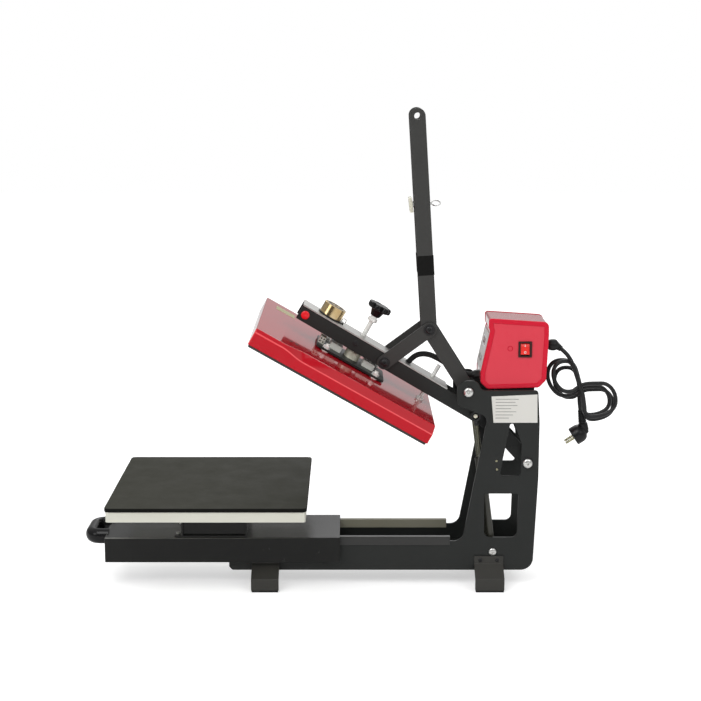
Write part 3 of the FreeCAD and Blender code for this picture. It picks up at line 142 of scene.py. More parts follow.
def along(start: Spot, degrees: float, distance: float, offset: float = 0.0) -> Spot:
    """XZ point at a distance along a direction.

    Args:
        start: where the direction starts, as x and z.
        degrees: the direction, from +X towards +Z.
        distance: how far along it.
        offset: how far to its left.

    Returns:
        The point, as x and z.
    """
    angle = math.radians(degrees)
    ux, uz = math.cos(angle), math.sin(angle)
    return (start[0] + ux * distance - uz * offset, start[1] + uz * distance + ux * offset)


def facing(x: float, y: float, z: float, side: Side) -> Matrix:
    """Place of a turned piece whose own +Z stands out to one side of the press."""
    return Matrix.Translation((x, y, z)) @ Matrix.Rotation(math.radians(-90.0 * side.value), 4, "X")


def standing(x: float, y: float, z: float) -> Matrix:
    """Place of a turned piece that stands upright."""
    return Matrix.Translation((x, y, z))


def aimed(start: Union[Point, Vector], end: Union[Point, Vector]) -> Matrix:
    """Place of a turned piece whose own +Z runs from one point towards another."""
    direction = Vector(end) - Vector(start)
    return Matrix.Translation(start) @ direction.to_track_quat("Z", "Y").to_matrix().to_4x4()


# ---------------------------------------------------------------- shaders


def set_values(node: Node, values: Values) -> Node:
    """Set a node's properties and, for keys that name or number a socket, its inputs."""
    for key, value in values.items():
        if isinstance(key, str) and hasattr(node, key):
            setattr(node, key, value)
        else:
            node.inputs[key].default_value = value
    return node


def build_tree(tree: Tree, nodes: Nodes, links: str, **known: Node) -> None:
    """Add nodes to a tree and join them.

    Args:
        tree: the tree.
        nodes: kind and values of each node, under a short name.
        links: each link as "node.socket > node.socket", with sockets named or numbered.
        known: nodes that are there already, under their short names.
    """
    made = dict(known)
    for name, (kind, values) in nodes.items():
        full = kind if kind.startswith("NodeGroup") else "ShaderNode" + kind
        made[name] = set_values(tree.nodes.new(full), values)
    for link in links.split(","):
        (source, out), (target, into) = (end.strip().split(".") for end in link.split(">"))
        tree.links.new(made[source].outputs[int(out) if out.isdigit() else out],
                       made[target].inputs[int(into) if into.isdigit() else into])


def new_group(name: str, inputs: dict[str, object], output: str, nodes: Nodes,
              links: str) -> Tree:
    """A node group for an effect that the finishes share.

    Args:
        name: the group's name.
        inputs: default of each input, which also tells its type.
        output: name of its output; "Color" is a colour, any other a number.
        nodes: its nodes, as build_tree takes them, besides its ends "in" and "out".
        links: its links, as build_tree takes them.

    Returns:
        The group.
    """
    tree = bpy.data.node_groups.new(name, "ShaderNodeTree")
    for label, value in inputs.items():
        kind = "Float" if isinstance(value, float) else {3: "Vector", 4: "Color"}[len(value)]
        socket = tree.interface.new_socket(label, in_out="INPUT", socket_type="NodeSocket" + kind)
        socket.default_value = value
    kind = "Color" if output == "Color" else "Float"
    tree.interface.new_socket(output, in_out="OUTPUT", socket_type="NodeSocket" + kind)
    ends = {"in": ("NodeGroupInput", {}), "out": ("NodeGroupOutput", {})}
    build_tree(tree, {**ends, **nodes}, links)
    return tree


GROUPS = {
    # Slow change of a colour's tone over a surface, as paint and plastic show.
    "tone": new_group(
        "patchy_tone",
        {"Vector": ORIGIN, "Color": WHITE, "Second": WHITE, "Scale": 8.0, "Amount": 0.3}, "Color",
        {"noise": ("TexNoise", {"Detail": 5.0, "Roughness": 0.62}),
         "spread": ("MapRange", {"clamp": True, "From Min": 0.32, "From Max": 0.68}),
         "weight": ("Math", {"operation": "MULTIPLY"}), "mix": ("Mix", {"data_type": "RGBA"})},
        "in.Vector > noise.Vector, in.Scale > noise.Scale, noise.Fac > spread.Value,"
        "spread.Result > weight.0, in.Amount > weight.1, weight.Value > mix.Factor,"
        "in.Color > mix.6, in.Second > mix.7, mix.2 > out.Color"),
    # Orange peel, moulding grain, brushing or casting skin.
    "relief": new_group(
        "fine_relief",
        {"Vector": ORIGIN, "Stretch": (1.0, 1.0, 1.0), "Scale": 1000.0, "Detail": 2.0}, "Height",
        {"stretch": ("VectorMath", {"operation": "MULTIPLY"}),
         "noise": ("TexNoise", {"Roughness": 0.55})},
        "in.Vector > stretch.0, in.Stretch > stretch.1, stretch.Vector > noise.Vector,"
        "in.Scale > noise.Scale, in.Detail > noise.Detail, noise.Fac > out.Height"),
    # Roughness that varies where hands and cloths have rubbed a surface.
    "rub": new_group(
        "rubbed_gloss", {"Vector": ORIGIN, "Gloss": 0.2, "Dull": 0.4, "Scale": 22.0}, "Roughness",
        {"noise": ("TexNoise", {"Detail": 6.0, "Roughness": 0.7}),
         "spread": ("MapRange", {"clamp": True, "From Min": 0.3, "From Max": 0.7})},
        "in.Vector > noise.Vector, in.Scale > noise.Scale, noise.Fac > spread.Value,"
        "in.Gloss > spread.To Min, in.Dull > spread.To Max, spread.Result > out.Roughness"),
    # Fine turning marks that ring an axis through the vector's origin.
    "lathe": new_group(
        "turning_marks", {"Vector": ORIGIN, "Scale": 900.0}, "Height",
        {"split": ("SeparateXYZ", {}), "flat": ("CombineXYZ", {}),
         "reach": ("VectorMath", {"operation": "LENGTH"}), "place": ("CombineXYZ", {}),
         "noise": ("TexNoise", {"Detail": 3.0})},
        "in.Vector > split.0, split.X > flat.X, split.Y > flat.Y, flat.0 > reach.0,"
        "reach.Value > place.X, split.Z > place.Z, place.0 > noise.Vector,"
        "in.Scale > noise.Scale, noise.Fac > out.Height"),
}


@dataclass(frozen=True)
class Finish:
    """A finish of the press: its colour, gloss and fine relief.

    The colour drifts towards the second one in patches of the given size, and the roughness
    drifts between gloss and dull. Sizes of patches are counts per metre. Where a piece has the
    attribute "field", the colour blends to the field's colour.
    """

    name: str
    slot: str
    colour: Colour
    second: Colour
    gloss: float
    dull: float
    relief: Relief
    depth: float
    amount: float = 0.35
    patches: float = 9.0
    metallic: float = 0.0
    coat: float = 0.0
    coat_roughness: float = 0.05
    coat_ior: float = 1.5
    specular: float = 0.5
    sheen: float = 0.0
    turned_about: Optional[Point] = None
    turned_tilt: float = 0.0
    glow: Optional[Colour] = None
    # Field colour is painted light: a painted highlight along folds and lips, or a face painted
    # lighter than the shaded rims beside it.
    field: Optional[Colour] = None

    def material(self) -> bpy.types.Material:
        """The material of the finish, made once.

        Returns:
            The material, which later calls return again.
        """
        made = bpy.data.materials.get(self.name)
        if made is not None:
            return made
        made = bpy.data.materials.new(self.name)
        made.use_nodes = True
        shader = made.node_tree.nodes["Principled BSDF"]
        set_values(shader, {
            "Metallic": self.metallic, "Specular IOR Level": self.specular,
            "Coat Weight": self.coat, "Coat Roughness": self.coat_roughness,
            "Coat IOR": self.coat_ior, "Sheen Weight": self.sheen})
        if self.glow is not None:
            set_values(shader, {"Emission Color": (*self.glow, 1.0), "Emission Strength": 0.6})
        nodes: Nodes = {
            "where": ("TexCoord", {}),
            "tone": ("Group", {"node_tree": GROUPS["tone"], "Color": (*self.colour, 1.0),
                               "Second": (*self.second, 1.0), "Scale": self.patches,
                               "Amount": self.amount}),
            "rub": ("Group", {"node_tree": GROUPS["rub"], "Gloss": self.gloss, "Dull": self.dull,
                              "Scale": self.patches * 2.3}),
            "bump": ("Bump", {"Strength": self.depth, "Distance": 0.0002})}
        links = ("where.Object > tone.Vector, where.Object > rub.Vector, fine.Height > bump.Height,"
                 "rub.Roughness > shader.Roughness, bump.Normal > shader.Normal,")
        if self.field is None:
            links += "tone.Color > shader.Base Color,"
        else:
            nodes["marked"] = ("Attribute", {"attribute_name": "field"})
            nodes["blend"] = ("Mix", {"data_type": "RGBA", 7: (*self.field, 1.0)})
            links += ("marked.Fac > blend.Factor, tone.Color > blend.6,"
                      "blend.2 > shader.Base Color,")
        if self.turned_about is None:
            scale, detail, stretch = self.relief.value
            nodes["fine"] = ("Group", {"node_tree": GROUPS["relief"], "Scale": scale,
                                       "Detail": detail, "Stretch": stretch})
            links += "where.Object > fine.Vector"
        else:
            tilt = (0.0, math.radians(self.turned_tilt), 0.0)
            nodes["centre"] = ("Mapping", {"vector_type": "TEXTURE", "Rotation": tilt,
                                           "Location": self.turned_about})
            nodes["fine"] = ("Group", {"node_tree": GROUPS["lathe"]})
            links += "where.Object > centre.Vector, centre.Vector > fine.Vector"
        build_tree(made.node_tree, nodes, links, shader=shader)
        return made


POWDER, SMOOTH, MOULDED, BRUSHED, CAST, FIBRE = Relief

BLACK_COAT = Finish(
    "satin_black_coat", "black_steel", (0.016, 0.0175, 0.0165), (0.022, 0.024, 0.0225),
    0.36, 0.5, POWDER, 0.1, specular=0.3)
HANDLE_COAT = Finish(
    "handle_black_coat", "black_steel", (0.034, 0.034, 0.032), (0.044, 0.044, 0.041),
    0.4, 0.52, POWDER, 0.12, specular=0.4)
FOOT_COAT = Finish(
    "foot_coat", "black_steel", (0.034, 0.033, 0.029), (0.046, 0.044, 0.039),
    0.42, 0.55, POWDER, 0.12, specular=0.4)
# The field colour is a paler grey painted along the drawer's front lip: a painted highlight.
DRAWER_BLACK = Finish(
    "drawer_black_coat", "black_steel", (0.008, 0.0082, 0.0075), (0.012, 0.0122, 0.0115),
    0.2, 0.28, POWDER, 0.01, specular=0.25, field=(0.14, 0.14, 0.13))
# The field colour is a lighter red painted along the cover's side folds: a painted highlight.
RED_GLOSS = Finish(
    "gloss_red_paint", "red_paint", (0.47, 0.005, 0.014), (0.52, 0.007, 0.018),
    0.12, 0.18, SMOOTH, 0.01, specular=0.05, coat=1.0, coat_ior=1.27, field=(0.78, 0.085, 0.095))
SHELL_RED = Finish(
    "box_shell_paint", "red_paint", (0.40, 0.016, 0.026), (0.45, 0.020, 0.032),
    0.2, 0.28, SMOOTH, 0.01, specular=0.1, coat=1.0, coat_roughness=0.06, coat_ior=1.4)
LABEL_YELLOW = Finish(
    "bare_warning_film", "label", (0.34, 0.31, 0.13), (0.42, 0.39, 0.20),
    0.4, 0.5, MOULDED, 0.02)
# The field colour is a lighter red painted on the covers' drawn-in fields, so the rims read darker:
# painted shade on the rims.
BOX_RED = Finish(
    "box_red_paint", "red_paint", (0.60, 0.008, 0.030), (0.66, 0.012, 0.038),
    0.24, 0.34, POWDER, 0.03, specular=0.05, coat=1.0, coat_roughness=0.12, coat_ior=1.25,
    field=(0.68, 0.050, 0.075))
SATIN_ALUMINIUM = Finish(
    "satin_aluminium", "bare_aluminium", (0.68, 0.68, 0.63), (0.76, 0.76, 0.71),
    0.3, 0.42, BRUSHED, 0.08, metallic=0.1)
NITRIDED = Finish(
    "nitrided_rod", "chrome", (0.10, 0.098, 0.072), (0.15, 0.148, 0.11),
    0.18, 0.26, SMOOTH, 0.02, metallic=0.9)
TUBE_BLACK = Finish(
    "strut_tube_coat", "black_steel", (0.030, 0.030, 0.023), (0.040, 0.040, 0.031),
    0.26, 0.36, SMOOTH, 0.03)
KEY_GREY = Finish(
    "key_grey", "panel_grey", (0.42, 0.42, 0.41), (0.48, 0.48, 0.47), 0.4, 0.5, MOULDED, 0.08)
PRINT_GREY = Finish(
    "label_print", "label", (0.20, 0.20, 0.19), (0.26, 0.26, 0.25), 0.4, 0.5, MOULDED, 0.02)
PIN_NICKEL = Finish(
    "pin_nickel", "magnet_brass", (0.36, 0.34, 0.22), (0.46, 0.44, 0.32),
    0.2, 0.3, BRUSHED, 0.06, metallic=1.0, patches=60.0)
BARE_PLATE = Finish(
    "brushed_plate", "bare_aluminium", (0.50, 0.495, 0.48), (0.58, 0.575, 0.55),
    0.28, 0.42, BRUSHED, 0.2, metallic=0.85)
CAST_PLATE = Finish(
    "machined_casting", "bare_aluminium", (0.66, 0.655, 0.575), (0.72, 0.715, 0.64),
    0.42, 0.58, CAST, 0.16, metallic=0.25)
HOT_PLATE = Finish(
    "heating_plate_coat", "bare_aluminium", (0.035, 0.034, 0.032), (0.055, 0.053, 0.05),
    0.4, 0.55, CAST, 0.14, metallic=0.3)
ZINC = Finish(
    "bright_zinc", "zinc_steel", (0.74, 0.74, 0.72), (0.84, 0.83, 0.79),
    0.24, 0.36, BRUSHED, 0.06, metallic=1.0, patches=60.0)
CHROME = Finish(
    "polished_chrome", "chrome", (0.80, 0.80, 0.79), (0.86, 0.86, 0.84),
    0.06, 0.12, SMOOTH, 0.02, metallic=1.0, patches=40.0)
BLACK_OXIDE = Finish(
    "black_oxide", "black_steel", (0.022, 0.022, 0.023), (0.035, 0.035, 0.036),
    0.3, 0.42, BRUSHED, 0.12, metallic=0.5)
KNOB_PLASTIC = Finish(
    "knob_plastic", "black_plastic", (0.006, 0.006, 0.0065), (0.010, 0.010, 0.0105),
    0.14, 0.22, MOULDED, 0.02, specular=0.25)
SOFT_BLACK = Finish(
    "moulded_black", "black_plastic", (0.007, 0.007, 0.0072), (0.012, 0.012, 0.0125),
    0.3, 0.42, MOULDED, 0.1, specular=0.3)
# Black plastic with a red tint painted in: a painted reflection of the red box round it.
SWITCH_FRAME = Finish(
    "switch_frame", "black_plastic", (0.030, 0.012, 0.010), (0.040, 0.016, 0.013),
    0.3, 0.42, MOULDED, 0.06, specular=0.25)
SLEEVE_BLACK = Finish(
    "sleeve_rubber", "rubber", (0.004, 0.004, 0.0035), (0.007, 0.007, 0.006),
    0.5, 0.62, MOULDED, 0.1, specular=0.15)
PAD_SILICONE = Finish(
    "pad_silicone", "silicone", (0.031, 0.031, 0.022), (0.037, 0.037, 0.027),
    0.62, 0.74, FIBRE, 0.2, specular=0.16)
# The pad's sides and underside, painted far darker than its top: painted shade.
PAD_SHADED_EDGE = Finish(
    "pad_edge", "silicone", (0.004, 0.004, 0.0035), (0.007, 0.007, 0.006),
    0.55, 0.7, MOULDED, 0.1, specular=0.1)
FOOT_RUBBER = Finish(
    "foot_rubber", "rubber", (0.012, 0.012, 0.012), (0.020, 0.020, 0.020),
    0.6, 0.75, MOULDED, 0.3, specular=0.3)
WOOL = Finish(
    "heat_wool", "insulation", (0.62, 0.58, 0.46), (0.72, 0.68, 0.56),
    0.85, 0.95, FIBRE, 0.9, specular=0.1, sheen=0.2)
CERAMIC = Finish(
    "ceramic_block", "ceramic_white", (0.46, 0.45, 0.40), (0.58, 0.56, 0.50),
    0.3, 0.45, CAST, 0.2)
RED_CAP = Finish(
    "red_cap", "red_plastic", (0.78, 0.008, 0.016), (0.84, 0.012, 0.022),
    0.2, 0.3, MOULDED, 0.06)
PANEL_FILM = Finish(
    "panel_film", "panel_grey", (0.60, 0.60, 0.585), (0.66, 0.66, 0.64),
    0.4, 0.5, MOULDED, 0.08)
LABEL_FILM = Finish(
    "label_film", "label", (0.66, 0.65, 0.61), (0.72, 0.71, 0.67), 0.34, 0.46, BRUSHED, 0.04)
BOARD = Finish(
    "board_lacquer", "board_green", (0.02, 0.13, 0.05), (0.03, 0.17, 0.07),
    0.25, 0.4, SMOOTH, 0.1)
DISPLAY_GLASS = Finish(
    "display_window", "display", (0.012, 0.010, 0.012), (0.018, 0.014, 0.016),
    0.05, 0.1, SMOOTH, 0.02, coat=0.8, coat_roughness=0.03)
SEGMENT_RED = Finish(
    "display_segment", "display", (0.16, 0.010, 0.010), (0.20, 0.014, 0.014),
    0.2, 0.3, SMOOTH, 0.02)
ROCKER_RED = Finish(
    "rocker_lens", "rocker_red", (0.72, 0.022, 0.016), (0.78, 0.034, 0.022),
    0.08, 0.14, SMOOTH, 0.02, coat=1.0, glow=(0.22, 0.004, 0.003))
MARK_WHITE = Finish(
    "switch_mark", "panel_grey", (0.80, 0.80, 0.78), (0.84, 0.84, 0.82), 0.4, 0.5, MOULDED, 0.03)
CORD_BLACK = Finish(
    "cord_sheath", "cord", (0.008, 0.008, 0.0085), (0.013, 0.013, 0.0135),
    0.3, 0.42, MOULDED, 0.08, specular=0.4)
CONDUIT_BLACK = Finish(
    "conduit_sleeve", "cord", (0.008, 0.008, 0.008), (0.014, 0.014, 0.014),
    0.5, 0.65, MOULDED, 0.3, specular=0.35)
BRASS = Finish(
    "brass", "magnet_brass", (0.70, 0.52, 0.22), (0.78, 0.60, 0.30),
    0.18, 0.3, BRUSHED, 0.1, metallic=1.0, patches=50.0)
GOLD_ZINC = Finish(
    "yellow_zinc", "magnet_brass", (0.58, 0.40, 0.17), (0.76, 0.64, 0.42), 0.12, 0.2, BRUSHED, 0.1,
    metallic=1.0, patches=45.0, amount=0.6, turned_about=MAGNET_AXIS, turned_tilt=ARM_TILT)
PALE_ZINC = Finish(
    "pale_yellow_zinc", "zinc_steel", (0.76, 0.74, 0.60), (0.84, 0.82, 0.70),
    0.2, 0.3, BRUSHED, 0.05, metallic=0.2, patches=18.0)
BRIGHT_ZINC = Finish(
    "bright_zinc_screw", "chrome", (0.80, 0.80, 0.77), (0.86, 0.86, 0.83),
    0.16, 0.26, SMOOTH, 0.02, metallic=0.3, patches=40.0)
STRIP = Finish(
    "runner_plastic", "black_plastic", (0.022, 0.022, 0.021), (0.030, 0.030, 0.028),
    0.3, 0.42, MOULDED, 0.06)
# Pale paint on the black runner plastic: a painted reflection on the far strip's top and inner
# faces.
STRIP_PAINTED_REFLECTION = Finish(
    "runner_wear_face", "black_plastic", (0.26, 0.25, 0.19), (0.33, 0.32, 0.26),
    0.3, 0.42, MOULDED, 0.06)


# ---------------------------------------------------------------- mesh work


class Shape:
    """A mesh under construction, drawn in millimetres."""

    def __init__(self) -> None:
        """Start with an empty mesh."""
        self.bm = bmesh.new()

    @classmethod
    def of_node(cls, node: str) -> "Shape":
        """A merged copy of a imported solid, its flats made whole again."""
        shape = cls()
        bm = shape.bm
        bm.from_mesh(frame["nodes"][node].data)
        bmesh.ops.scale(bm, vec=(1 / MM,) * 3, verts=bm.verts)
        bmesh.ops.remove_doubles(bm, verts=bm.verts, dist=WELD)
        bmesh.ops.dissolve_limit(bm, angle_limit=math.radians(FLAT), verts=bm.verts,
                                 edges=bm.edges, use_dissolve_boundaries=False)
        return shape

    def placed(self, verts: Sequence[Vert], place: Matrix) -> None:
        """Bring new vertices to their place."""
        bmesh.ops.transform(self.bm, matrix=place, verts=list(verts))

    def block(self, low: Point, high: Point, place: Matrix = AS_DRAWN) -> None:
        """Add a block between two corners."""
        size = [b - a for a, b in zip(low, high)]
        middle = [(a + b) / 2 for a, b in zip(low, high)]
        matrix = Matrix.Translation(middle) @ Matrix.Diagonal((*size, 1.0))
        made = bmesh.ops.create_cube(self.bm, size=1.0, matrix=matrix)
        self.placed(made["verts"], place)

    def rod(self, radius: float, length: float, place: Matrix, steps: int = 32) -> None:
        """Add a round bar that starts at its place and runs along its own +Z."""
        bmesh.ops.create_cone(self.bm, cap_ends=True, segments=steps, radius1=radius,
                              radius2=radius, depth=length,
                              matrix=place @ Matrix.Translation((0, 0, length / 2)))

    def spun(self, profile: Sequence[Spot], steps: int, merge: float,
             **how: object) -> list[Vert]:
        """Spin an open profile about the Z axis.

        Args:
            profile: radius and height of each point.
            steps: facets round the axis.
            merge: how near to each other the points are that become one.
            how: what else the spin is told.

        Returns:
            The new vertices.
        """
        bm = self.bm
        before = set(bm.verts)
        verts = [bm.verts.new((radius, 0.0, height)) for radius, height in profile]
        edges = [bm.edges.new(pair) for pair in zip(verts, verts[1:])]
        bmesh.ops.spin(bm, geom=verts + edges, cent=ORIGIN, axis=UP, steps=steps, **how)
        made = [vert for vert in bm.verts if vert not in before]
        bmesh.ops.remove_doubles(bm, verts=made, dist=merge)
        return [vert for vert in bm.verts if vert not in before]

    def lathe(self, profile: Sequence[Spot], place: Matrix, steps: int = 40,
              socket: float = 0.0) -> None:
        """Add a turned solid.

        Args:
            profile: radius and height of each point, from the axis at one end to the other.
            place: where its own +Z axis goes.
            steps: facets round it.
            socket: width across the flats of a hexagon socket, for points at that radius or less.
        """
        made = self.spun(profile, steps, 0.0005, angle=2 * math.pi, use_merge=True)
        for vert in made if socket else ():
            if 0.1 < math.hypot(vert.co.x, vert.co.y) < socket / 2 + 0.01:
                angle = math.atan2(vert.co.y, vert.co.x) % (math.pi / 3) - math.pi / 6
                vert.co.xy = vert.co.xy / math.cos(angle)
        faces = {face for vert in made for face in vert.link_faces}
        bmesh.ops.recalc_face_normals(self.bm, faces=list(faces))
        self.placed(made, place)

    def pair(self, profile: Sequence[Spot], x: float, out: float, z: float, steps: int = 40,
             socket: float = 0.0) -> None:
        """Add a turned solid on each side of the press, standing outwards.

        Args:
            profile: radius and height of each point, as lathe takes them.
            x: where along the press.
            out: how far from its middle the solids start.
            z: how high.
            steps: facets round each.
            socket: width across the flats of a hexagon socket.
        """
        for side in Side:
            self.lathe(profile, facing(x, side.value * out, z, side), steps, socket)

    def torus(self, ring: float, bar: float, place: Matrix, sides: int = 14) -> None:
        """Add a round ring of round bar."""
        angles = [2 * math.pi * side / sides for side in range(sides + 1)]
        self.lathe([(ring - bar * math.sin(angle), bar * math.cos(angle)) for angle in angles],
                   place, steps=32)

    def thread(self, core: float, crest: float, pitch: float, turns: int, place: Matrix,
               steps: int = 20) -> None:
        """Add a screw thread's flanks round an axis, one pitch to each turn."""
        profile = [(core, 0.0), (crest, pitch * 0.42), (crest, pitch * 0.58), (core, pitch)]
        made = self.spun(profile, steps * turns, 0.001, dvec=(0, 0, pitch / steps),
                         angle=2 * math.pi * turns)
        for face in {face for vert in made for face in vert.link_faces}:
            middle = face.calc_center_median()
            if face.normal.dot(Vector((middle.x, middle.y, 0.0))) < 0:
                face.normal_flip()
        self.placed(made, place)

    def bevel(self, width: float, segments: int = 2, pick: Optional[EdgeTest] = None,
              least: float = 30.0) -> None:
        """Round the sharp edges.

        Args:
            width: how far the rounding reaches from the edge.
            segments: facets across it.
            pick: which of the sharp edges; all of them when it is left out.
            least: how many degrees an edge turns to count as sharp.
        """
        self.bm.normal_update()
        edges = [edge for edge in self.bm.edges
                 if edge.is_manifold and edge.calc_face_angle() > math.radians(least)
                 and (pick is None or pick(edge))]
        if edges:
            bmesh.ops.bevel(self.bm, geom=edges, offset=width, offset_type="OFFSET",
                            segments=segments, profile=0.5, affect="EDGES", clamp_overlap=False,
                            material=-1)

    def mark(self, pick: Callable[[Vert], bool]) -> None:
        """Mark the vertices that take the finish's field colour, its painted light."""
        field = self.bm.verts.layers.float.new("field")
        for vert in self.bm.verts:
            vert[field] = float(pick(vert))

    def finish(self, name: str, finish: Finish, body: str, place: Matrix = AS_DRAWN,
               nodes: Sequence[str] = (), crease: float = 38.0, sheet: float = 0.0) -> Object:
        """Make the piece and let it ride on its body.

        Args:
            name: the piece's name.
            finish: its finish.
            body: the body that it moves with.
            place: the turn from where it was drawn to where it rests.
            nodes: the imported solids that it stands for.
            crease: degrees above which an edge stays sharp in the shading.
            sheet: thickness that an open skin is given, inwards.

        Returns:
            The piece.
        """
        bm = self.bm
        bm.transform(Matrix.Scale(MM, 4) @ place)
        bm.normal_update()
        for face in bm.faces:
            face.smooth = True
        for edge in bm.edges:
            if edge.is_manifold and edge.calc_face_angle() > math.radians(crease):
                edge.smooth = False
        mesh = bpy.data.meshes.new(name)
        bm.to_mesh(mesh)
        bm.free()
        mesh.materials.append(finish.material())
        piece = in_scene(name, mesh)
        if sheet:
            solid = piece.modifiers.new("sheet", "SOLIDIFY")
            solid.thickness = MM * sheet
            solid.offset = -1.0
        weigh = piece.modifiers.new("weighted_normals", "WEIGHTED_NORMAL")
        weigh.keep_sharp = True
        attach(piece, body)
        if nodes:
            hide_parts(*nodes)
        log.info("%s: %d faces", name, len(mesh.polygons))
        return piece


def in_scene(name: str, data: bpy.types.ID) -> Object:
    """An object that shows some data, linked into the scene."""
    made = bpy.data.objects.new(name, data)
    bpy.context.scene.collection.objects.link(made)
    return made


def in_rounding(vert: Vert, width: float = 1.2) -> bool:
    """Whether a vertex lies among faces that are all narrower than a width."""
    return all(face.calc_area() < width * max(edge.calc_length() for edge in face.edges)
               for face in vert.link_faces)


def rounded_copy(node: str, finish: Finish, width: float, segments: int = 2,
                 head: Optional[EdgeTest] = None) -> Object:
    """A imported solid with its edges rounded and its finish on.

    Args:
        node: the solid's name.
        finish: the finish.
        width: width of the rounding, in millimetres.
        segments: facets across it.
        head: which edges are rounded widely before the others.

    Returns:
        The piece that stands for the solid.
    """
    shape = Shape.of_node(node)
    if head is not None:
        shape.bevel(1.8, 5, head)
    shape.bevel(width, segments)
    return shape.finish(node + "_finished", finish, frame["nodes"][node]["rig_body"], nodes=[node])


def second_finish(piece: Object, finish: Finish,
                  pick: Callable[[bpy.types.MeshPolygon], bool]) -> None:
    """Give some faces of a piece another finish."""
    piece.data.materials.append(finish.material())
    slot = len(piece.data.materials) - 1
    for face in piece.data.polygons:
        if pick(face):
            face.material_index = slot


def nurbs(name: str, route: Sequence[Point], diameter: float, smooth: int,
          facets: int) -> bpy.types.Curve:
    """A round cord along one spline.

    Args:
        name: the curve's name.
        route: its control points, in millimetres.
        diameter: how thick it is.
        smooth: steps between two control points.
        facets: the bevel's resolution.

    Returns:
        The curve.
    """
    data = bpy.data.curves.new(name, "CURVE")
    data.dimensions = "3D"
    spline = data.splines.new("NURBS")
    spline.points.add(len(route) - 1)
    for point, place in zip(spline.points, route):
        point.co = (*[MM * value for value in place], 1.0)
    spline.order_u = 3
    spline.use_endpoint_u = True
    spline.resolution_u = smooth
    data.bevel_depth = MM * diameter / 2
    data.bevel_resolution = facets
    data.use_fill_caps = True
    return data


def disc(radius: float, height: float, edge: float) -> list[Spot]:
    """Profile of a flat disc whose upper rim is chamfered."""
    return [(0, 0), (radius, 0), (radius, height - edge), (radius - edge, height), (0, height)]


def dome(radius: float, height: float, socket: float = 0.0) -> list[Spot]:
    """Profile of a domed bolt head, from the middle of its top or socket down to its seat."""
    inner = socket / 2
    points = [(0.0, height)]
    if socket:
        points = [(0.0, height * 0.35), (inner, height * 0.35), (inner, height * 0.98)]
    rise, reach = height * 0.62, radius - inner * 0.6
    for step in range(1, 9):
        angle = math.radians(90.0 - step * 11.25)
        points.append((radius - reach * (1 - math.cos(angle)),
                       height - rise * (1 - math.sin(angle))))
    return points + [(radius, 0.0), (0.0, 0.0)]


# ---------------------------------------------------------------- the press


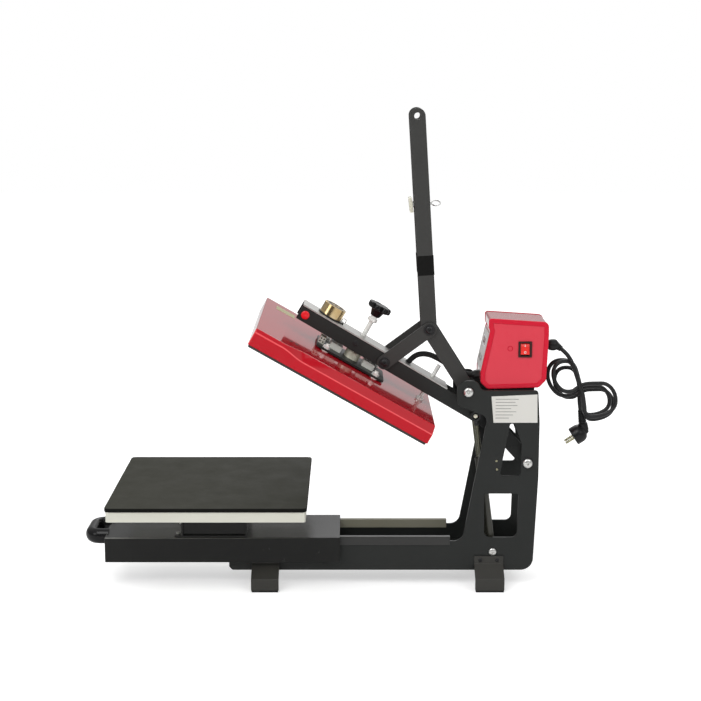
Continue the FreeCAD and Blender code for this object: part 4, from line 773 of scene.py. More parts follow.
@dataclass
class Studio:
    """Pale floor, soft light and the camera of the view from the side."""

    camera_at: Point = (0.072, -2.9128, 1.0168)
    pitch: float = 79.2
    lens: float = 77.85
    floor_reach: float = 9000.0
    diffuse: float = 0.62
    aim: Point = (0.0, 0.0, 0.3)

    def build(self) -> None:
        """Make everything that isn't part of the press."""
        self.make_world()
        self.make_floor()
        self.make_lamps()
        self.make_camera()

    def make_world(self) -> None:
        """Surroundings: white behind, darker on the side that the near faces mirror."""
        world = bpy.data.worlds.new("studio")
        bpy.context.scene.world = world
        world.use_nodes = True
        world.node_tree.nodes.clear()
        nodes: Nodes = {
            "where": ("TexCoord", {}), "split": ("SeparateXYZ", {}), "rays": ("LightPath", {}),
            "white": ("Mix", {"data_type": "FLOAT", 3: 1.0}),
            "mirror": ("Math", {"operation": "MAXIMUM"}),
            "level": ("Mix", {"data_type": "FLOAT", 2: self.diffuse}),
            "sky": ("Background", {"Color": WHITE}), "out": ("OutputWorld", {}),
            "around": ("Math", {"operation": "MULTIPLY"}),
            "raised": ("Math", {"operation": "ADD", "use_clamp": True})}
        for axis, limits in (("Y", (-0.8, 0.15, 0.22, 0.56)), ("X", (-0.3, 0.02, 0.5, 1.0)),
                             ("Z", (0.15, 0.75, 0.0, 0.4))):
            span = dict(zip(("From Min", "From Max", "To Min", "To Max"), limits))
            nodes[axis] = ("MapRange", {"clamp": True, **span})
        build_tree(world.node_tree, nodes,
                   "where.Generated > split.0, split.X > X.Value, split.Y > Y.Value,"
                   "split.Z > Z.Value, Y.Result > around.0, X.Result > around.1,"
                   "around.0 > raised.0, Z.Result > raised.1, rays.Is Glossy Ray > mirror.0,"
                   "rays.Is Transmission Ray > mirror.1, mirror.0 > level.0, raised.0 > level.3,"
                   "rays.Is Camera Ray > white.0, level.0 > white.2, white.0 > sky.Strength,"
                   "sky.0 > out.Surface")

    def make_floor(self) -> None:
        """A plain pale floor that keeps the press's shadow."""
        bm = bmesh.new()
        bmesh.ops.create_grid(bm, x_segments=1, y_segments=1, size=self.floor_reach)
        bm.transform(Matrix.Scale(MM, 4))
        mesh = bpy.data.meshes.new("floor")
        bm.to_mesh(mesh)
        bm.free()
        floor = in_scene("floor", mesh)
        paint = bpy.data.materials.new("pale_floor")
        paint.use_nodes = True
        shader = paint.node_tree.nodes["Principled BSDF"]
        set_values(shader, {"Base Color": (0.86, 0.86, 0.86, 1.0), "Roughness": 0.9,
                            "Specular IOR Level": 0.1, "Emission Color": WHITE})
        nodes = {"rays": ("LightPath", {}), "seen": ("Math", {"operation": "MULTIPLY", 1: 0.5})}
        build_tree(paint.node_tree, nodes, "rays.Is Camera Ray > seen.0,"
                   "seen.0 > shader.Emission Strength", shader=shader)
        mesh.materials.append(paint)

    def make_lamps(self) -> None:
        """A broad key light above the near side, a fill at each end and one from behind."""
        for name, at, size, power in (("key", (-1.3, -2.6, 3.2), 2.4, 58.0),
                                      ("fill", (2.0, -2.6, 2.6), 1.8, 20.0),
                                      ("front", (-2.6, -2.0, 1.4), 1.4, 11.0),
                                      ("back", (0.4, 3.2, 2.8), 2.8, 34.0)):
            lamp = bpy.data.lights.new(name, "AREA")
            lamp.shape = "DISK"
            lamp.size = size
            lamp.energy = power
            holder = in_scene(name, lamp)
            holder.location = at
            way = Vector(self.aim) - Vector(at)
            holder.rotation_euler = way.to_track_quat("-Z", "Y").to_euler()

    def make_camera(self) -> None:
        """The camera, level with a point above the press and pitched down."""
        data = bpy.data.cameras.new("side_view")
        data.lens = self.lens
        data.sensor_width = 36.0
        camera = in_scene("side_view", data)
        camera.location = self.camera_at
        camera.rotation_euler = (math.radians(self.pitch), 0.0, 0.0)
        bpy.context.scene.camera = camera


@dataclass
class MainsCord:
    """The mains lead: out of the box, down into a loose figure of eight and on to its plug."""

    diameter: float = 8.0
    length: float = 1388.0
    crossing: Spot = (519.0, 388.0)
    front: float = -32.0
    pitch: float = 19.0
    lead: tuple[Point, ...] = ((478.0, -20.0, 470.5), (491.5, -21.0, 461.0),
                               (505.5, -25.0, 437.5), (514.0, -31.0, 406.4))
    loop: tuple[Point, ...] = (
        (0.046, 5.7, -21.2), (0.124, 8.0, -65.2), (0.205, 45.6, -63.2), (0.265, 72.0, -46.6),
        (0.332, 72.0, -16.8), (0.388, 54.2, 5.2), (0.447, 29.1, 4.8), (0.493, 7.3, 3.8),
        (0.542, -8.3, -5.9), (0.578, -19.6, -15.4), (0.638, -43.9, -14.1), (0.702, -64.0, 13.1),
        (0.767, -64.0, 41.4), (0.813, -47.4, 57.2), (0.883, -17.2, 54.0), (0.957, -4.9, 18.3))
    turns: tuple[tuple[float, float, float, float], ...] = (
        (2.0, 8.0, 0.95, 0.84), (4.0, -2.0, 0.80, 1.0), (10.0, -12.0, 0.86, 0.84))
    plug_top: Point = (529.0, 25.0, 336.0)
    plug_root: Point = (537.0, 25.0, 295.0)
    plug_face: Point = (516.0, 25.0, 281.0)

    def build(self) -> None:
        """Make the lead with its connector and plug."""
        connector = self.make_connector()
        plug, pins = self.make_plug()
        lead = self.make_lead()

    def route(self) -> list[Point]:
        """The lead's control points, from the connector to the plug."""
        points = list(self.lead)
        for number, (dx, dz, right, left) in enumerate(self.turns):
            for share, x, z in self.loop:
                size = right if x > 0 else left
                points.append((self.crossing[0] + dx + x * size,
                               self.front + self.pitch * (number + share),
                               self.crossing[1] + dz + z * size))
        top, root = Vector(self.plug_top), Vector(self.plug_root)
        back = top - (root - top).normalized() * 14.0
        return points + [tuple(back), self.plug_top]

    def make_lead(self) -> Object:
        """The lead as one smooth round cord."""
        data = nurbs("mains_lead", self.route(), self.diameter, 8, 4)
        data.materials.append(CORD_BLACK.material())
        lead = in_scene("mains_lead", data)
        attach(lead, "frame")
        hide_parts("power_lead", "lead_hank")
        log.info("mains_lead: %d control points", len(data.splines[0].points))
        return lead

    @staticmethod
    def ribs(count: int, foot: Spot, step: Spot, rib: Sequence[Spot]) -> list[Spot]:
        """Profile of a strain relief's ribs.

        Args:
            count: how many ribs.
            foot: radius and height where the first one starts.
            step: how much wider and higher each rib starts than the one before it.
            rib: points of one rib, counted from its start.

        Returns:
            Radius and height of each point.
        """
        return [(foot[0] + number * step[0] + out, foot[1] + number * step[1] + up)
                for number in range(count) for out, up in rib]

    def make_connector(self) -> Object:
        """The moulded connector in the box's rear wall, with its ribbed strain relief."""
        shape = Shape()
        x, y, z = 464.5, -20.0, 476.3
        nose = [(0, -22), (9, -22), (9, -8), (10.4, -6.5), (11.2, -2), (11.2, 3), (10.2, 7),
                (7.4, 9.6), (0, 10.2)]
        shape.lathe(nose, aimed((x, y, z), (x + 10.0, y, z)))
        start, after = Vector(self.lead[0]), Vector(self.lead[1])
        out = (after - start).normalized()
        ribs = self.ribs(4, (7.6, -9), (-0.55, 3.4), ((0, 0), (0, 1.9), (-1.1, 2.3), (-1.2, 3.1)))
        shape.lathe([(0, -10), *ribs, (4.9, 4.6), (0, 4.8)], aimed(start, start + out * 10.0))
        return shape.finish("power_connector_moulded", SOFT_BLACK, "frame",
                            nodes=["power_connector"])

    def make_plug(self) -> tuple[Object, Object]:
        """The angled plug: round body, ribbed strain relief and two pins."""
        face, root, top = Vector(self.plug_face), Vector(self.plug_root), Vector(self.plug_top)
        out = (face - root).normalized()
        shape = Shape()
        body = [(0, -10), (6, -9.8), (10.4, -8.9), (14, -6.6), (16.8, -3), (18.2, 1.2), (18.5, 5),
                (18.5, 14.6), (17.6, 16.6), (15.4, 17), (15, 15.9), (0, 15.9)]
        shape.lathe(body, aimed(face - out * 17.0, face), steps=48)
        reach = (root - top).length
        ribs = self.ribs(7, (5.6, 1), (0.42, 3.6), ((0, 0), (0, 2), (-1, 2.4), (-1, 3.3)))
        relief = [(0, 0), (5, 0), *ribs, (9.3, 28), (9.8, reach - 2), (8.6, reach + 5.5),
                  (4.5, reach + 9), (0, reach + 9.4)]
        shape.lathe(relief, aimed(top, root), steps=32)
        plug = shape.finish("power_plug_moulded", SOFT_BLACK, "frame", nodes=["power_plug"])
        pins = Shape()
        for side in Side:
            foot = face + Vector((0.0, side.value * 9.5, 0.0)) - out * 2.0
            pins.lathe([(0, 0), (2.4, 0), (2.4, 19), (1.9, 20.4), (0.9, 21), (0, 21)],
                       aimed(foot, foot + out), steps=20)
        return plug, pins.finish("plug_pins", PIN_NICKEL, "frame")


@dataclass
class HeaterConduit:
    """The black conduit that arches from the box down into the arm."""

    diameter: float = 11.0
    route: tuple[Point, ...] = ((168.2, 0.0, 415.4), (190.0, 0.0, 449.0), (218.8, 0.0, 457.3),
                                (252.0, 0.0, 441.5), (290.0, 0.0, 412.0), (329.0, 0.0, 412.0))

    def build(self) -> None:
        """Make the conduit and its gland at the box."""
        name = "heater_conduit_sleeve"
        guide = bpy.data.objects.new(name, nurbs(name, self.route, self.diameter, 24, 6))
        mesh = bpy.data.meshes.new_from_object(guide)
        bpy.data.objects.remove(guide)
        mesh.name = name
        mesh.materials.clear()
        mesh.materials.append(CONDUIT_BLACK.material())
        piece = in_scene(name, mesh)
        for face in mesh.polygons:
            face.use_smooth = True
        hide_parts("heater_conduit")
        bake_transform(piece)
        log.info("%s: %d faces", name, len(mesh.polygons))
        rounded_copy("conduit_gland", SOFT_BLACK, 0.4)


@dataclass
class Frame:
    """Side plates, bed tray, feet, runners and the fixed pivots."""

    shaft: float = 6.0
    small_shaft: float = 4.0
    washer: float = 1.7
    strap_out: float = 64.0
    strap_screw_z: float = 54.5
    strap_screws_x: tuple[float, ...] = (-110.0, -80.0, 327.0, 360.0)
    plate_screws: tuple[Spot, ...] = ((355.6, 254.1), (356.9, 237.0))

    def build(self) -> None:
        """Dress the frame."""
        for node, finish, width in (
                ("near_side_plate", BLACK_COAT, 0.8), ("far_side_plate", BLACK_COAT, 0.8),
                ("bed_tray", BLACK_COAT, 0.5), ("foot_straps", FOOT_COAT, 0.9),
                ("foot_caps", FOOT_RUBBER, 0.5), ("runner_strips", STRIP, 0.4),
                ("side_guide_blocks", SOFT_BLACK, 0.6), ("pivot_spacers", ZINC, 0.3)):
            piece = rounded_copy(node, finish, width)
            if node == "runner_strips":
                # Only the far strip's top and inward faces are painted pale: a painted reflection.
                second_finish(piece, STRIP_PAINTED_REFLECTION, lambda face: face.center.y > 0.0
                              and (face.normal.y < -0.5 or face.normal.z > 0.5))
        self.make_pivots()
        self.make_screws()

    def make_pivots(self) -> None:
        """The three shafts across the frame, with bright domed heads and nuts."""
        shape = Shape()
        washers = Shape()
        for x, z in (ARM_PIVOT, HANDLE_PIVOT):
            shape.rod(self.shaft, 2 * HALF_FRAME, facing(x, -HALF_FRAME, z, Side.FAR))
            washers.pair(disc(11.5, self.washer, 0.5), x, HALF_FRAME, z)
            seat = HALF_FRAME + self.washer
            shape.lathe(dome(9.2, 6.0, 5.0), facing(x, -seat, z, Side.NEAR), socket=5.0)
            nut = [(0, 0), (10.39, 0), (10.39, 6.2), (9, 7.3), (6.1, 7.3), (5.4, 6.6), (0, 6.6)]
            shape.lathe(nut, facing(x, seat, z, Side.FAR), steps=6)
        x, z = STRUT_FOOT
        shape.rod(self.small_shaft, 2 * HALF_FRAME, facing(x, -HALF_FRAME, z, Side.FAR))
        shape.pair(dome(7.5, 4.5, 4.0), x, HALF_FRAME, z, socket=4.0)
        shape.finish("pivot_bolts_turned", ZINC, "frame", nodes=["pivot_bolts"])
        washers.finish("pivot_washers", BLACK_OXIDE, "frame")

    def make_screws(self) -> None:
        """Small screws of the feet and of the plate inside the tower."""
        shape = Shape()
        for x in self.strap_screws_x:
            shape.pair(dome(4.0, 2.2, 2.5), x, self.strap_out, self.strap_screw_z, 24, 2.5)
        shape.finish("frame_screws_turned", BLACK_OXIDE, "frame", nodes=["frame_screws"])
        small = Shape()
        for x, z in self.plate_screws:
            small.pair(dome(2.2, 1.0), x, HALF_FRAME, z, 18)
        small.finish("plate_screws", PIN_NICKEL, "frame")


@dataclass
class Drawer:
    """The drawer with its pull, its pedestal and the lower platen."""

    front: float = -453.5
    pull_root: float = -408.0
    pull_half_span: float = 52.0
    pull_bar: float = 24.0
    pull_height: float = 30.0
    pull_bend: float = 20.0
    pull_z: float = 96.0
    pull_bed: float = 3.0
    pad_size: float = 380.0
    pad_middle: float = -199.5
    pad_top: float = 197.0
    pad_thick: float = 8.0
    pad_corner: float = 7.0
    lip: Spot = (-407.0, 102.0)
    lip_highlight: Spot = (-405.5, 101.0)
    screws: tuple[Point, ...] = ((-265.5, -61.0, 108.0), (-265.5, 0.0, 108.0),
                                 (-265.5, 61.0, 108.0))

    def build(self) -> None:
        """Dress the drawer."""
        channel = Shape.of_node("drawer_channel")
        channel.bevel(1.8, 4, self.front_lip)
        channel.bevel(0.35)
        # The rounding along the front lip takes the paler field colour: a painted highlight.
        x, z = self.lip_highlight
        channel.mark(lambda vert: vert.co.x < x and vert.co.z > z and in_rounding(vert))
        channel.finish("drawer_channel_finished", DRAWER_BLACK, "drawer",
                       nodes=["drawer_channel"])
        rounded_copy("platen_pedestal", DRAWER_BLACK, 0.8)
        rounded_copy("lower_platen_plate", CAST_PLATE, 0.8)
        self.make_pull()
        self.make_pad()
        self.make_screws()

    def front_lip(self, edge: Edge) -> bool:
        """Whether an edge runs along the top of the drawer's front."""
        return all(vert.co.x < self.lip[0] and vert.co.z > self.lip[1] for vert in edge.verts)

    def make_pull(self) -> None:
        """The glossy moulded pull: an oval bar bent to a D, with its foot on the drawer's front."""
        shape = Shape()
        bm = shape.bm
        half = self.pull_bar / 2
        side = self.pull_half_span - half
        start, z = self.pull_root + self.pull_bed, self.pull_z
        corner, across = self.front + half + self.pull_bend, side - self.pull_bend
        turn = (Matrix.Translation((start, -side, z)) @ Matrix.Rotation(math.pi / 2, 4, "Y")
                @ Matrix.Diagonal((self.pull_height / 2, half, 1.0, 1.0)))
        ring = bmesh.ops.create_circle(bm, cap_ends=True, segments=36, radius=1.0, matrix=turn)
        geom: list = list({edge for vert in ring["verts"] for edge in vert.link_edges})
        geom = self.pushed(bm, geom, (corner - start, 0.0, 0.0))
        geom = self.bent(bm, geom, (corner, -across, z))
        geom = self.pushed(bm, geom, (0.0, 2 * across, 0.0))
        geom = self.bent(bm, geom, (corner, across, z))
        geom = self.pushed(bm, geom, (start - corner, 0.0, 0.0))
        bmesh.ops.edgeloop_fill(bm, edges=geom)
        bmesh.ops.recalc_face_normals(bm, faces=bm.faces)
        before = set(bm.edges)
        shape.block((self.pull_root - 4.0, -side, z - 10.0), (self.pull_root, side, z + 6.0))
        shape.bevel(1.2, 3, lambda edge: edge not in before)
        shape.finish("drawer_pull_moulded", KNOB_PLASTIC, "drawer", nodes=["drawer_pull"])

    @staticmethod
    def pushed(bm: bmesh.types.BMesh, geom: list, offset: Point) -> list:
        """Extrude a ring of edges straight on.

        Args:
            bm: the mesh.
            geom: the ring's edges.
            offset: how far.

        Returns:
            The edges of the new ring.
        """
        made = bmesh.ops.extrude_edge_only(bm, edges=geom)["geom"]
        verts = [part for part in made if isinstance(part, Vert)]
        bmesh.ops.translate(bm, verts=verts, vec=offset)
        return [part for part in made if isinstance(part, Edge)]

    @staticmethod
    def bent(bm: bmesh.types.BMesh, geom: list, centre: Point) -> list:
        """Sweep a ring of edges a quarter turn about an upright axis.

        Args:
            bm: the mesh.
            geom: the ring's edges.
            centre: a point of the axis.

        Returns:
            The edges of the new ring.
        """
        verts = list({vert for edge in geom for vert in edge.verts})
        made = bmesh.ops.spin(bm, geom=verts + geom, cent=centre, axis=UP, angle=-math.pi / 2,
                              steps=12)["geom_last"]
        return [part for part in made if isinstance(part, Edge)]

    def make_pad(self) -> None:
        """The silicone pad: a thick soft sheet, very slightly crowned, with rounded corners."""
        half, corner = self.pad_size / 2, self.pad_corner
        shape = Shape()
        bm = shape.bm
        bmesh.ops.create_grid(bm, x_segments=38, y_segments=38, size=half)
        for vert in bm.verts:
            x, y = vert.co.xy
            ripple = 0.12 * math.sin(x * 0.021) * math.cos(y * 0.027)
            vert.co.z = -0.45 * (max(abs(x), abs(y)) / half) ** 6 + ripple
            over_x, over_y = abs(x) - (half - corner), abs(y) - (half - corner)
            if over_x > 0 and over_y > 0 and math.hypot(over_x, over_y) > corner:
                shrink = corner / math.hypot(over_x, over_y)
                vert.co.x = math.copysign(half - corner + over_x * shrink, x)
                vert.co.y = math.copysign(half - corner + over_y * shrink, y)
        made = bmesh.ops.extrude_face_region(bm, geom=bm.faces[:])["geom"]
        for vert in made:
            if isinstance(vert, Vert):
                vert.co.z = -self.pad_thick
        bmesh.ops.recalc_face_normals(bm, faces=bm.faces)
        shape.placed(bm.verts, standing(self.pad_middle, 0.0, self.pad_top))
        shape.bevel(1.6, 4)
        piece = shape.finish("silicone_pad_sheet", PAD_SILICONE, "drawer", nodes=["silicone_pad"])
        # The sides and underside take the darker finish: painted shade on the pad's edge.
        second_finish(piece, PAD_SHADED_EDGE, lambda face: face.normal.z < 0.9)

    def make_screws(self) -> None:
        """Three screws in the pedestal's front flange."""
        shape = Shape()
        for screw in self.screws:
            shape.lathe(dome(4.5, 2.6, 2.8), standing(*screw), steps=28, socket=2.8)
        shape.finish("pedestal_screws_turned", ZINC, "drawer", nodes=["pedestal_screws"])


@dataclass
class Arm:
    """The arm: bars, bare top plate, electromagnet, pins and the pressure screw's nut."""

    front_pin: Spot = (-101.0, 276.2)
    nut_pin: Spot = (11.0, 278.2)
    base_thick: float = 2.5
    lug: Spot = (28.0, -8.0)

    def build(self) -> None:
        """Dress the arm."""
        rounded_copy("arm_bars", BLACK_COAT, 0.8)
        rounded_copy("arm_top_plate", BARE_PLATE, 0.4)
        rounded_copy("pressure_nut", BLACK_OXIDE, 0.6)
        self.make_magnet()
        self.make_pins()

    def level(self, x: float, z: float) -> Spot:
        """Where an XZ point of the raised arm lies when the arm is level."""
        point = ON_ARM.inverted() @ Vector((x, 0.0, z))
        return point.x, point.z

    def make_magnet(self) -> None:
        """The pot magnet with its coil, and the dark base with a ring lug."""
        foot = standing(MAGNET_X, 0.0, ARM_TOP + self.base_thick)
        can = [(0, 0), (22.4, 0), (23, 0.6), (23, 21.2), (22.2, 22), (16.5, 22), (16.5, 21),
               (9, 21), (9, 22), (3.4, 22), (3.4, 19), (0, 18.4)]
        shape = Shape()
        shape.lathe(can, foot, steps=72)
        shape.finish("electromagnet_turned", GOLD_ZINC, "arm", ON_ARM, nodes=["electromagnet"])
        coil = Shape()
        coil.lathe([(9.05, 20.9), (16.45, 20.9), (16.45, 21.4), (9.05, 21.4), (9.05, 20.9)], foot,
                   steps=64)
        coil.finish("magnet_coil_seal", SOFT_BLACK, "arm", ON_ARM)
        base = Shape()
        base.lathe(disc(25.0, self.base_thick, 0.6), standing(MAGNET_X, 0.0, ARM_TOP), steps=64)
        lug_x, lug_y = MAGNET_X + self.lug[0], self.lug[1]
        base.block((lug_x - 14.0, lug_y - 4.0, ARM_TOP), (lug_x + 2.0, lug_y + 4.0, ARM_TOP + 2.0))
        base.rod(1.4, 4.5, standing(lug_x, lug_y, ARM_TOP))
        base.finish("magnet_base_plate", BLACK_OXIDE, "arm", ON_ARM, nodes=["magnet_base"])
        ring = Shape()
        ring.torus(4.2, 1.2, facing(lug_x, lug_y, ARM_TOP + 8.0, Side.NEAR))
        ring.finish("magnet_ring_lug", CHROME, "arm", ON_ARM)

    def make_pins(self) -> None:
        """Pins of the links, the screw's nut and the struts, and the red caps at the front."""
        dark, bright, red = Shape(), Shape(), Shape()
        link_x, link_z = self.level(*LINK_PIVOT)
        strut_x, strut_z = self.level(*STRUT_HEAD)
        (front_x, front_z), (nut_x, nut_z) = self.front_pin, self.nut_pin
        dark.rod(4.0, 62.0, facing(front_x, -31.0, front_z, Side.FAR))
        dark.rod(4.0, 76.0, facing(link_x, -38.0, link_z, Side.FAR))
        for side in Side:
            dark.rod(4.0, 14.0, facing(nut_x, side.value * 17.0, nut_z, side))
            dark.rod(7.0, 8.2, facing(strut_x, side.value * 31.0, strut_z, side))
        dark.pair(dome(5.5, 1.0, 3.0), nut_x, 31.0, nut_z, 28, 3.0)
        dark.pair(disc(11.0, 1.4, 0.4), link_x, 36.6, link_z, 36)
        dark.pair(dome(7.5, 5.0, 4.4), link_x, 38.0, link_z, 32, 4.4)
        bright.pair([(0, 0), (4, 0), (4, 20.7), (3, 21.5), (0, 21.9)], strut_x, 26.0, strut_z, 28)
        red.pair(dome(8.2, 3.0), front_x, 31.0, front_z, 36)
        dark.finish("arm_pins_turned", BLACK_OXIDE, "arm", ON_ARM, nodes=["arm_pins"])
        bright.finish("strut_pins", PALE_ZINC, "arm", ON_ARM)
        red.finish("arm_end_caps", RED_CAP, "arm", ON_ARM, nodes=["arm_pin_caps"])


@dataclass
class HeatedPlaten:
    """The heated platen under its red cover, and the spider that presses on it."""

    size: float = 380.0
    middle: float = 15.5
    cover_top: float = 244.8
    cover_foot: float = 211.8
    sweep_start: float = 58.0
    sweep: float = 46.0
    spider_top: float = 250.6
    stud_foot: float = 214.8
    studs: tuple[Spot, ...] = ((-34.5, -43.0), (-34.5, 43.0), (73.5, -43.0), (73.5, 43.0))
    vents: tuple[Spot, ...] = ((70.0, -130.0), (82.0, -130.0))
    film: tuple[Spot, Spot] = ((-150.0, 112.0), (-108.0, 150.0))
    side_blocks: tuple[float, ...] = (-37.0, 36.0)
    block_height: float = 13.0
    terminals: tuple[Spot, ...] = ((-70.0, -19.0), (-70.0, -3.0), (-64.0, -19.0), (-64.0, -3.0))
    terminal_height: float = 14.0

    def build(self) -> None:
        """Dress the platen."""
        rounded_copy("heating_plate", HOT_PLATE, 0.8)
        wool = frame["nodes"]["insulation_sheet"]
        wool.data.materials.clear()
        wool.data.materials.append(WOOL.material())
        log.info("%s: %s", wool.name, WOOL.name)
        self.make_cover()
        rounded_copy("pressure_spider", BLACK_COAT, 0.6)
        rounded_copy("platen_standoffs", BRIGHT_ZINC, 0.5)
        rounded_copy("guide_rod", BRIGHT_ZINC, 0.5)
        self.make_thrust()
        self.make_studs()
        self.make_terminals()

    def make_cover(self) -> None:
        """The red cover: one pressed sheet, open below, with rounded folds and a swept shoulder."""
        half = self.size / 2
        start = self.middle - half
        shape = Shape()
        bm = shape.bm
        face = bm.faces.new([bm.verts.new(point) for point in self.section(start, 0.0)])
        for step in range(10):
            reach = self.size if step == 9 else self.sweep_start + self.sweep * step / 8
            made = bmesh.ops.extrude_face_region(bm, geom=[face])["geom"]
            face = next(part for part in made if isinstance(part, Face))
            outline = self.section(start + reach, min(1.0, step / 8))
            for vert, point in zip(self.in_order(face), outline):
                vert.co = point
        bmesh.ops.recalc_face_normals(bm, faces=bm.faces)
        bm.normal_update()
        inside = [face for face in bm.faces if face.normal.z < -0.9 or (
            abs(face.normal.x) > 0.9
            and start + 1.0 < face.calc_center_median().x < start + self.size - 1.0)]
        bmesh.ops.delete(bm, geom=inside, context="FACES")
        shape.bevel(1.9, 4, lambda edge: edge.is_convex, least=14.0)
        # The roundings along both sides take the lighter field colour: a painted highlight on the
        # folds.
        shape.mark(lambda vert: abs(vert.co.y) > half - 5.0 and in_rounding(vert))
        shape.finish("platen_cover_pressed", RED_GLOSS, "platen", ON_PLATEN,
                     nodes=["platen_cover"], sheet=1.2, crease=40.0)
        rims = Shape()
        rim = [(0, 0.1), (1.6, 0.1), (2, 0.5), (2.7, 0.6), (3.2, 0.3), (3.2, -0.2), (0, -0.2)]
        for x, y in self.vents:
            rims.lathe(rim, standing(start + x, y, self.cover_top), steps=24)
        rims.finish("cover_vent_rims", BLACK_OXIDE, "platen", ON_PLATEN)
        film = Shape()
        low, high = self.film
        film.block((*low, self.cover_top - 0.1), (*high, self.cover_top + 0.2))
        film.finish("cover_film", LABEL_YELLOW, "platen", ON_PLATEN)

    def section(self, x: float, share: float) -> list[Point]:
        """The cover's outline across the press.

        Args:
            x: where along the press.
            share: how far the shoulder has swept from its front form to its rear form.

        Returns:
            Its corners, from the near lower one over the top to the far lower one.
        """
        ease = share * share * (3.0 - 2.0 * share)
        run, drop = 6.0 + 18.0 * ease, 7.0 + 6.0 * ease
        half, top = self.size / 2, self.cover_top
        near = [(x, -half, self.cover_foot), (x, -half, top - drop), (x, -half + run, top)]
        return near + [(x, -y, z) for x, y, z in reversed(near)]

    @staticmethod
    def in_order(face: Face) -> list[Vert]:
        """The corners of a section's face, in the order of its outline."""
        return sorted(face.verts, key=lambda vert: (vert.co.y,
                                                    math.copysign(vert.co.z, -vert.co.y)))

    def make_thrust(self) -> None:
        """The bright thrust cylinder and the two clamped blocks beside it."""
        shape, blocks = Shape(), Shape()
        top = self.spider_top
        shape.lathe([(0, 0), (16, 0), (16, 14.3), (14.8, 15.5), (7.2, 15.5), (6.4, 14.6),
                     (5.1, 14.6), (5.1, 5), (0, 5)], standing(SCREW_X, 0.0, top), steps=56)
        shape.finish("thrust_cylinder", PALE_ZINC, "platen", ON_PLATEN, nodes=["thrust_blocks"])
        middles = [SCREW_X + x for x in self.side_blocks]
        for x in middles:
            blocks.block((x - 12.5, -20.0, top), (x + 12.5, 20.0, top + self.block_height))
        blocks.bevel(0.8, 2)
        for x in middles:
            for y in (-12.0, 12.0):
                blocks.lathe(dome(3.4, 2.0, 2.4), standing(x, y, top + self.block_height),
                             steps=24, socket=2.4)
        blocks.finish("thrust_side_blocks", SATIN_ALUMINIUM, "platen", ON_PLATEN)

    def make_studs(self) -> None:
        """The four studs with their nuts on the spider."""
        shape = Shape()
        nut = [(0, 0), (7.505, 0), (7.505, 5.2), (6.6, 6), (4.1, 6), (4.1, 5), (0, 5)]
        for x, y in self.studs:
            shape.rod(4.0, 44.0, standing(x, y, self.stud_foot), steps=28)
            shape.lathe(nut, standing(x, y, self.spider_top), steps=6)
            shape.thread(3.6, 4.15, 1.25, 3, standing(x, y, self.spider_top + 5.2))
        shape.finish("spider_bolts_turned", BRIGHT_ZINC, "platen", ON_PLATEN,
                     nodes=["spider_bolts"], crease=28.0)

    def make_terminals(self) -> None:
        """The drilled terminal block with its screws."""
        rounded_copy("terminal_block", CERAMIC, 0.5)
        screws = Shape()
        z = self.spider_top + self.terminal_height
        for x, y in self.terminals:
            screws.lathe([(0, -2), (1.9, -2), (1.9, 0.3), (1.5, 0.6), (0, 0.6)],
                         standing(SCREW_X + x, y, z), steps=18)
        screws.finish("terminal_screws", BRASS, "platen", ON_PLATEN)


@dataclass
class PressureKnob:
    """The pressure screw with its thread, lock nut and lobed knob."""

    foot: float = 254.9
    nut_z: float = 334.0
    knob_z: float = 345.0
    knob_radius: float = 24.0
    lobes: int = 7
    lobe_depth: float = 6.5
    lobe_foot: float = 13.0
    dip_width: float = 0.17
    pitch: float = 1.5
    turns: int = 52

    def build(self) -> None:
        """Dress the knob and the screw."""
        self.make_knob()
        shape = Shape()
        shape.rod(4.35, 94.0, standing(SCREW_X, 0.0, self.foot), steps=24)
        shape.thread(4.3, 5.0, self.pitch, self.turns, standing(SCREW_X, 0.0, self.foot + 0.6))
        nut = [(5.05, 0), (9.2, 0), (9.815, 0.7), (9.815, 6.3), (9.2, 7), (6.8, 7), (6.8, 11),
               (5.05, 11), (5.05, 0)]
        shape.lathe(nut, standing(SCREW_X, 0.0, self.nut_z), steps=6)
        shape.finish("pressure_screw_threaded", BRIGHT_ZINC, "knob", ON_PLATEN,
                     nodes=["pressure_screw"], crease=28.0)

    def make_knob(self) -> None:
        """The knob: a turned body whose rim is drawn in between seven crowned lobes."""
        shape = Shape()
        profile = [(0, 0.4), (8.6, 0.4), (9.5, 1.2), (13, 11.4), (14.2, 14), (20.6, 14.2),
                   (22.6, 14.8), (23.7, 16.4), (24, 18.4), (24, 21.6), (23.6, 23.6), (22.4, 25.2),
                   (20.4, 25.9), (12, 26), (10.6, 25.4), (9, 25.2), (0, 25.2)]
        shape.lathe(profile, AS_DRAWN, steps=112)
        hub = self.knob_radius / 2
        for vert in shape.bm.verts:
            if vert.co.z < self.lobe_foot:
                continue
            turn = math.atan2(vert.co.y, vert.co.x) * self.lobes / (2 * math.pi) % 1.0 - 0.5
            dip = math.exp(-((turn / self.dip_width) ** 2))
            share = max(0.0, (math.hypot(vert.co.x, vert.co.y) - hub) / hub)
            vert.co.xy *= 1.0 - dip * share * self.lobe_depth / self.knob_radius
        shape.placed(shape.bm.verts, standing(SCREW_X, 0.0, self.knob_z))
        shape.finish("pressure_knob_lobed", KNOB_PLASTIC, "knob", ON_PLATEN,
                     nodes=["pressure_knob"], crease=50.0)


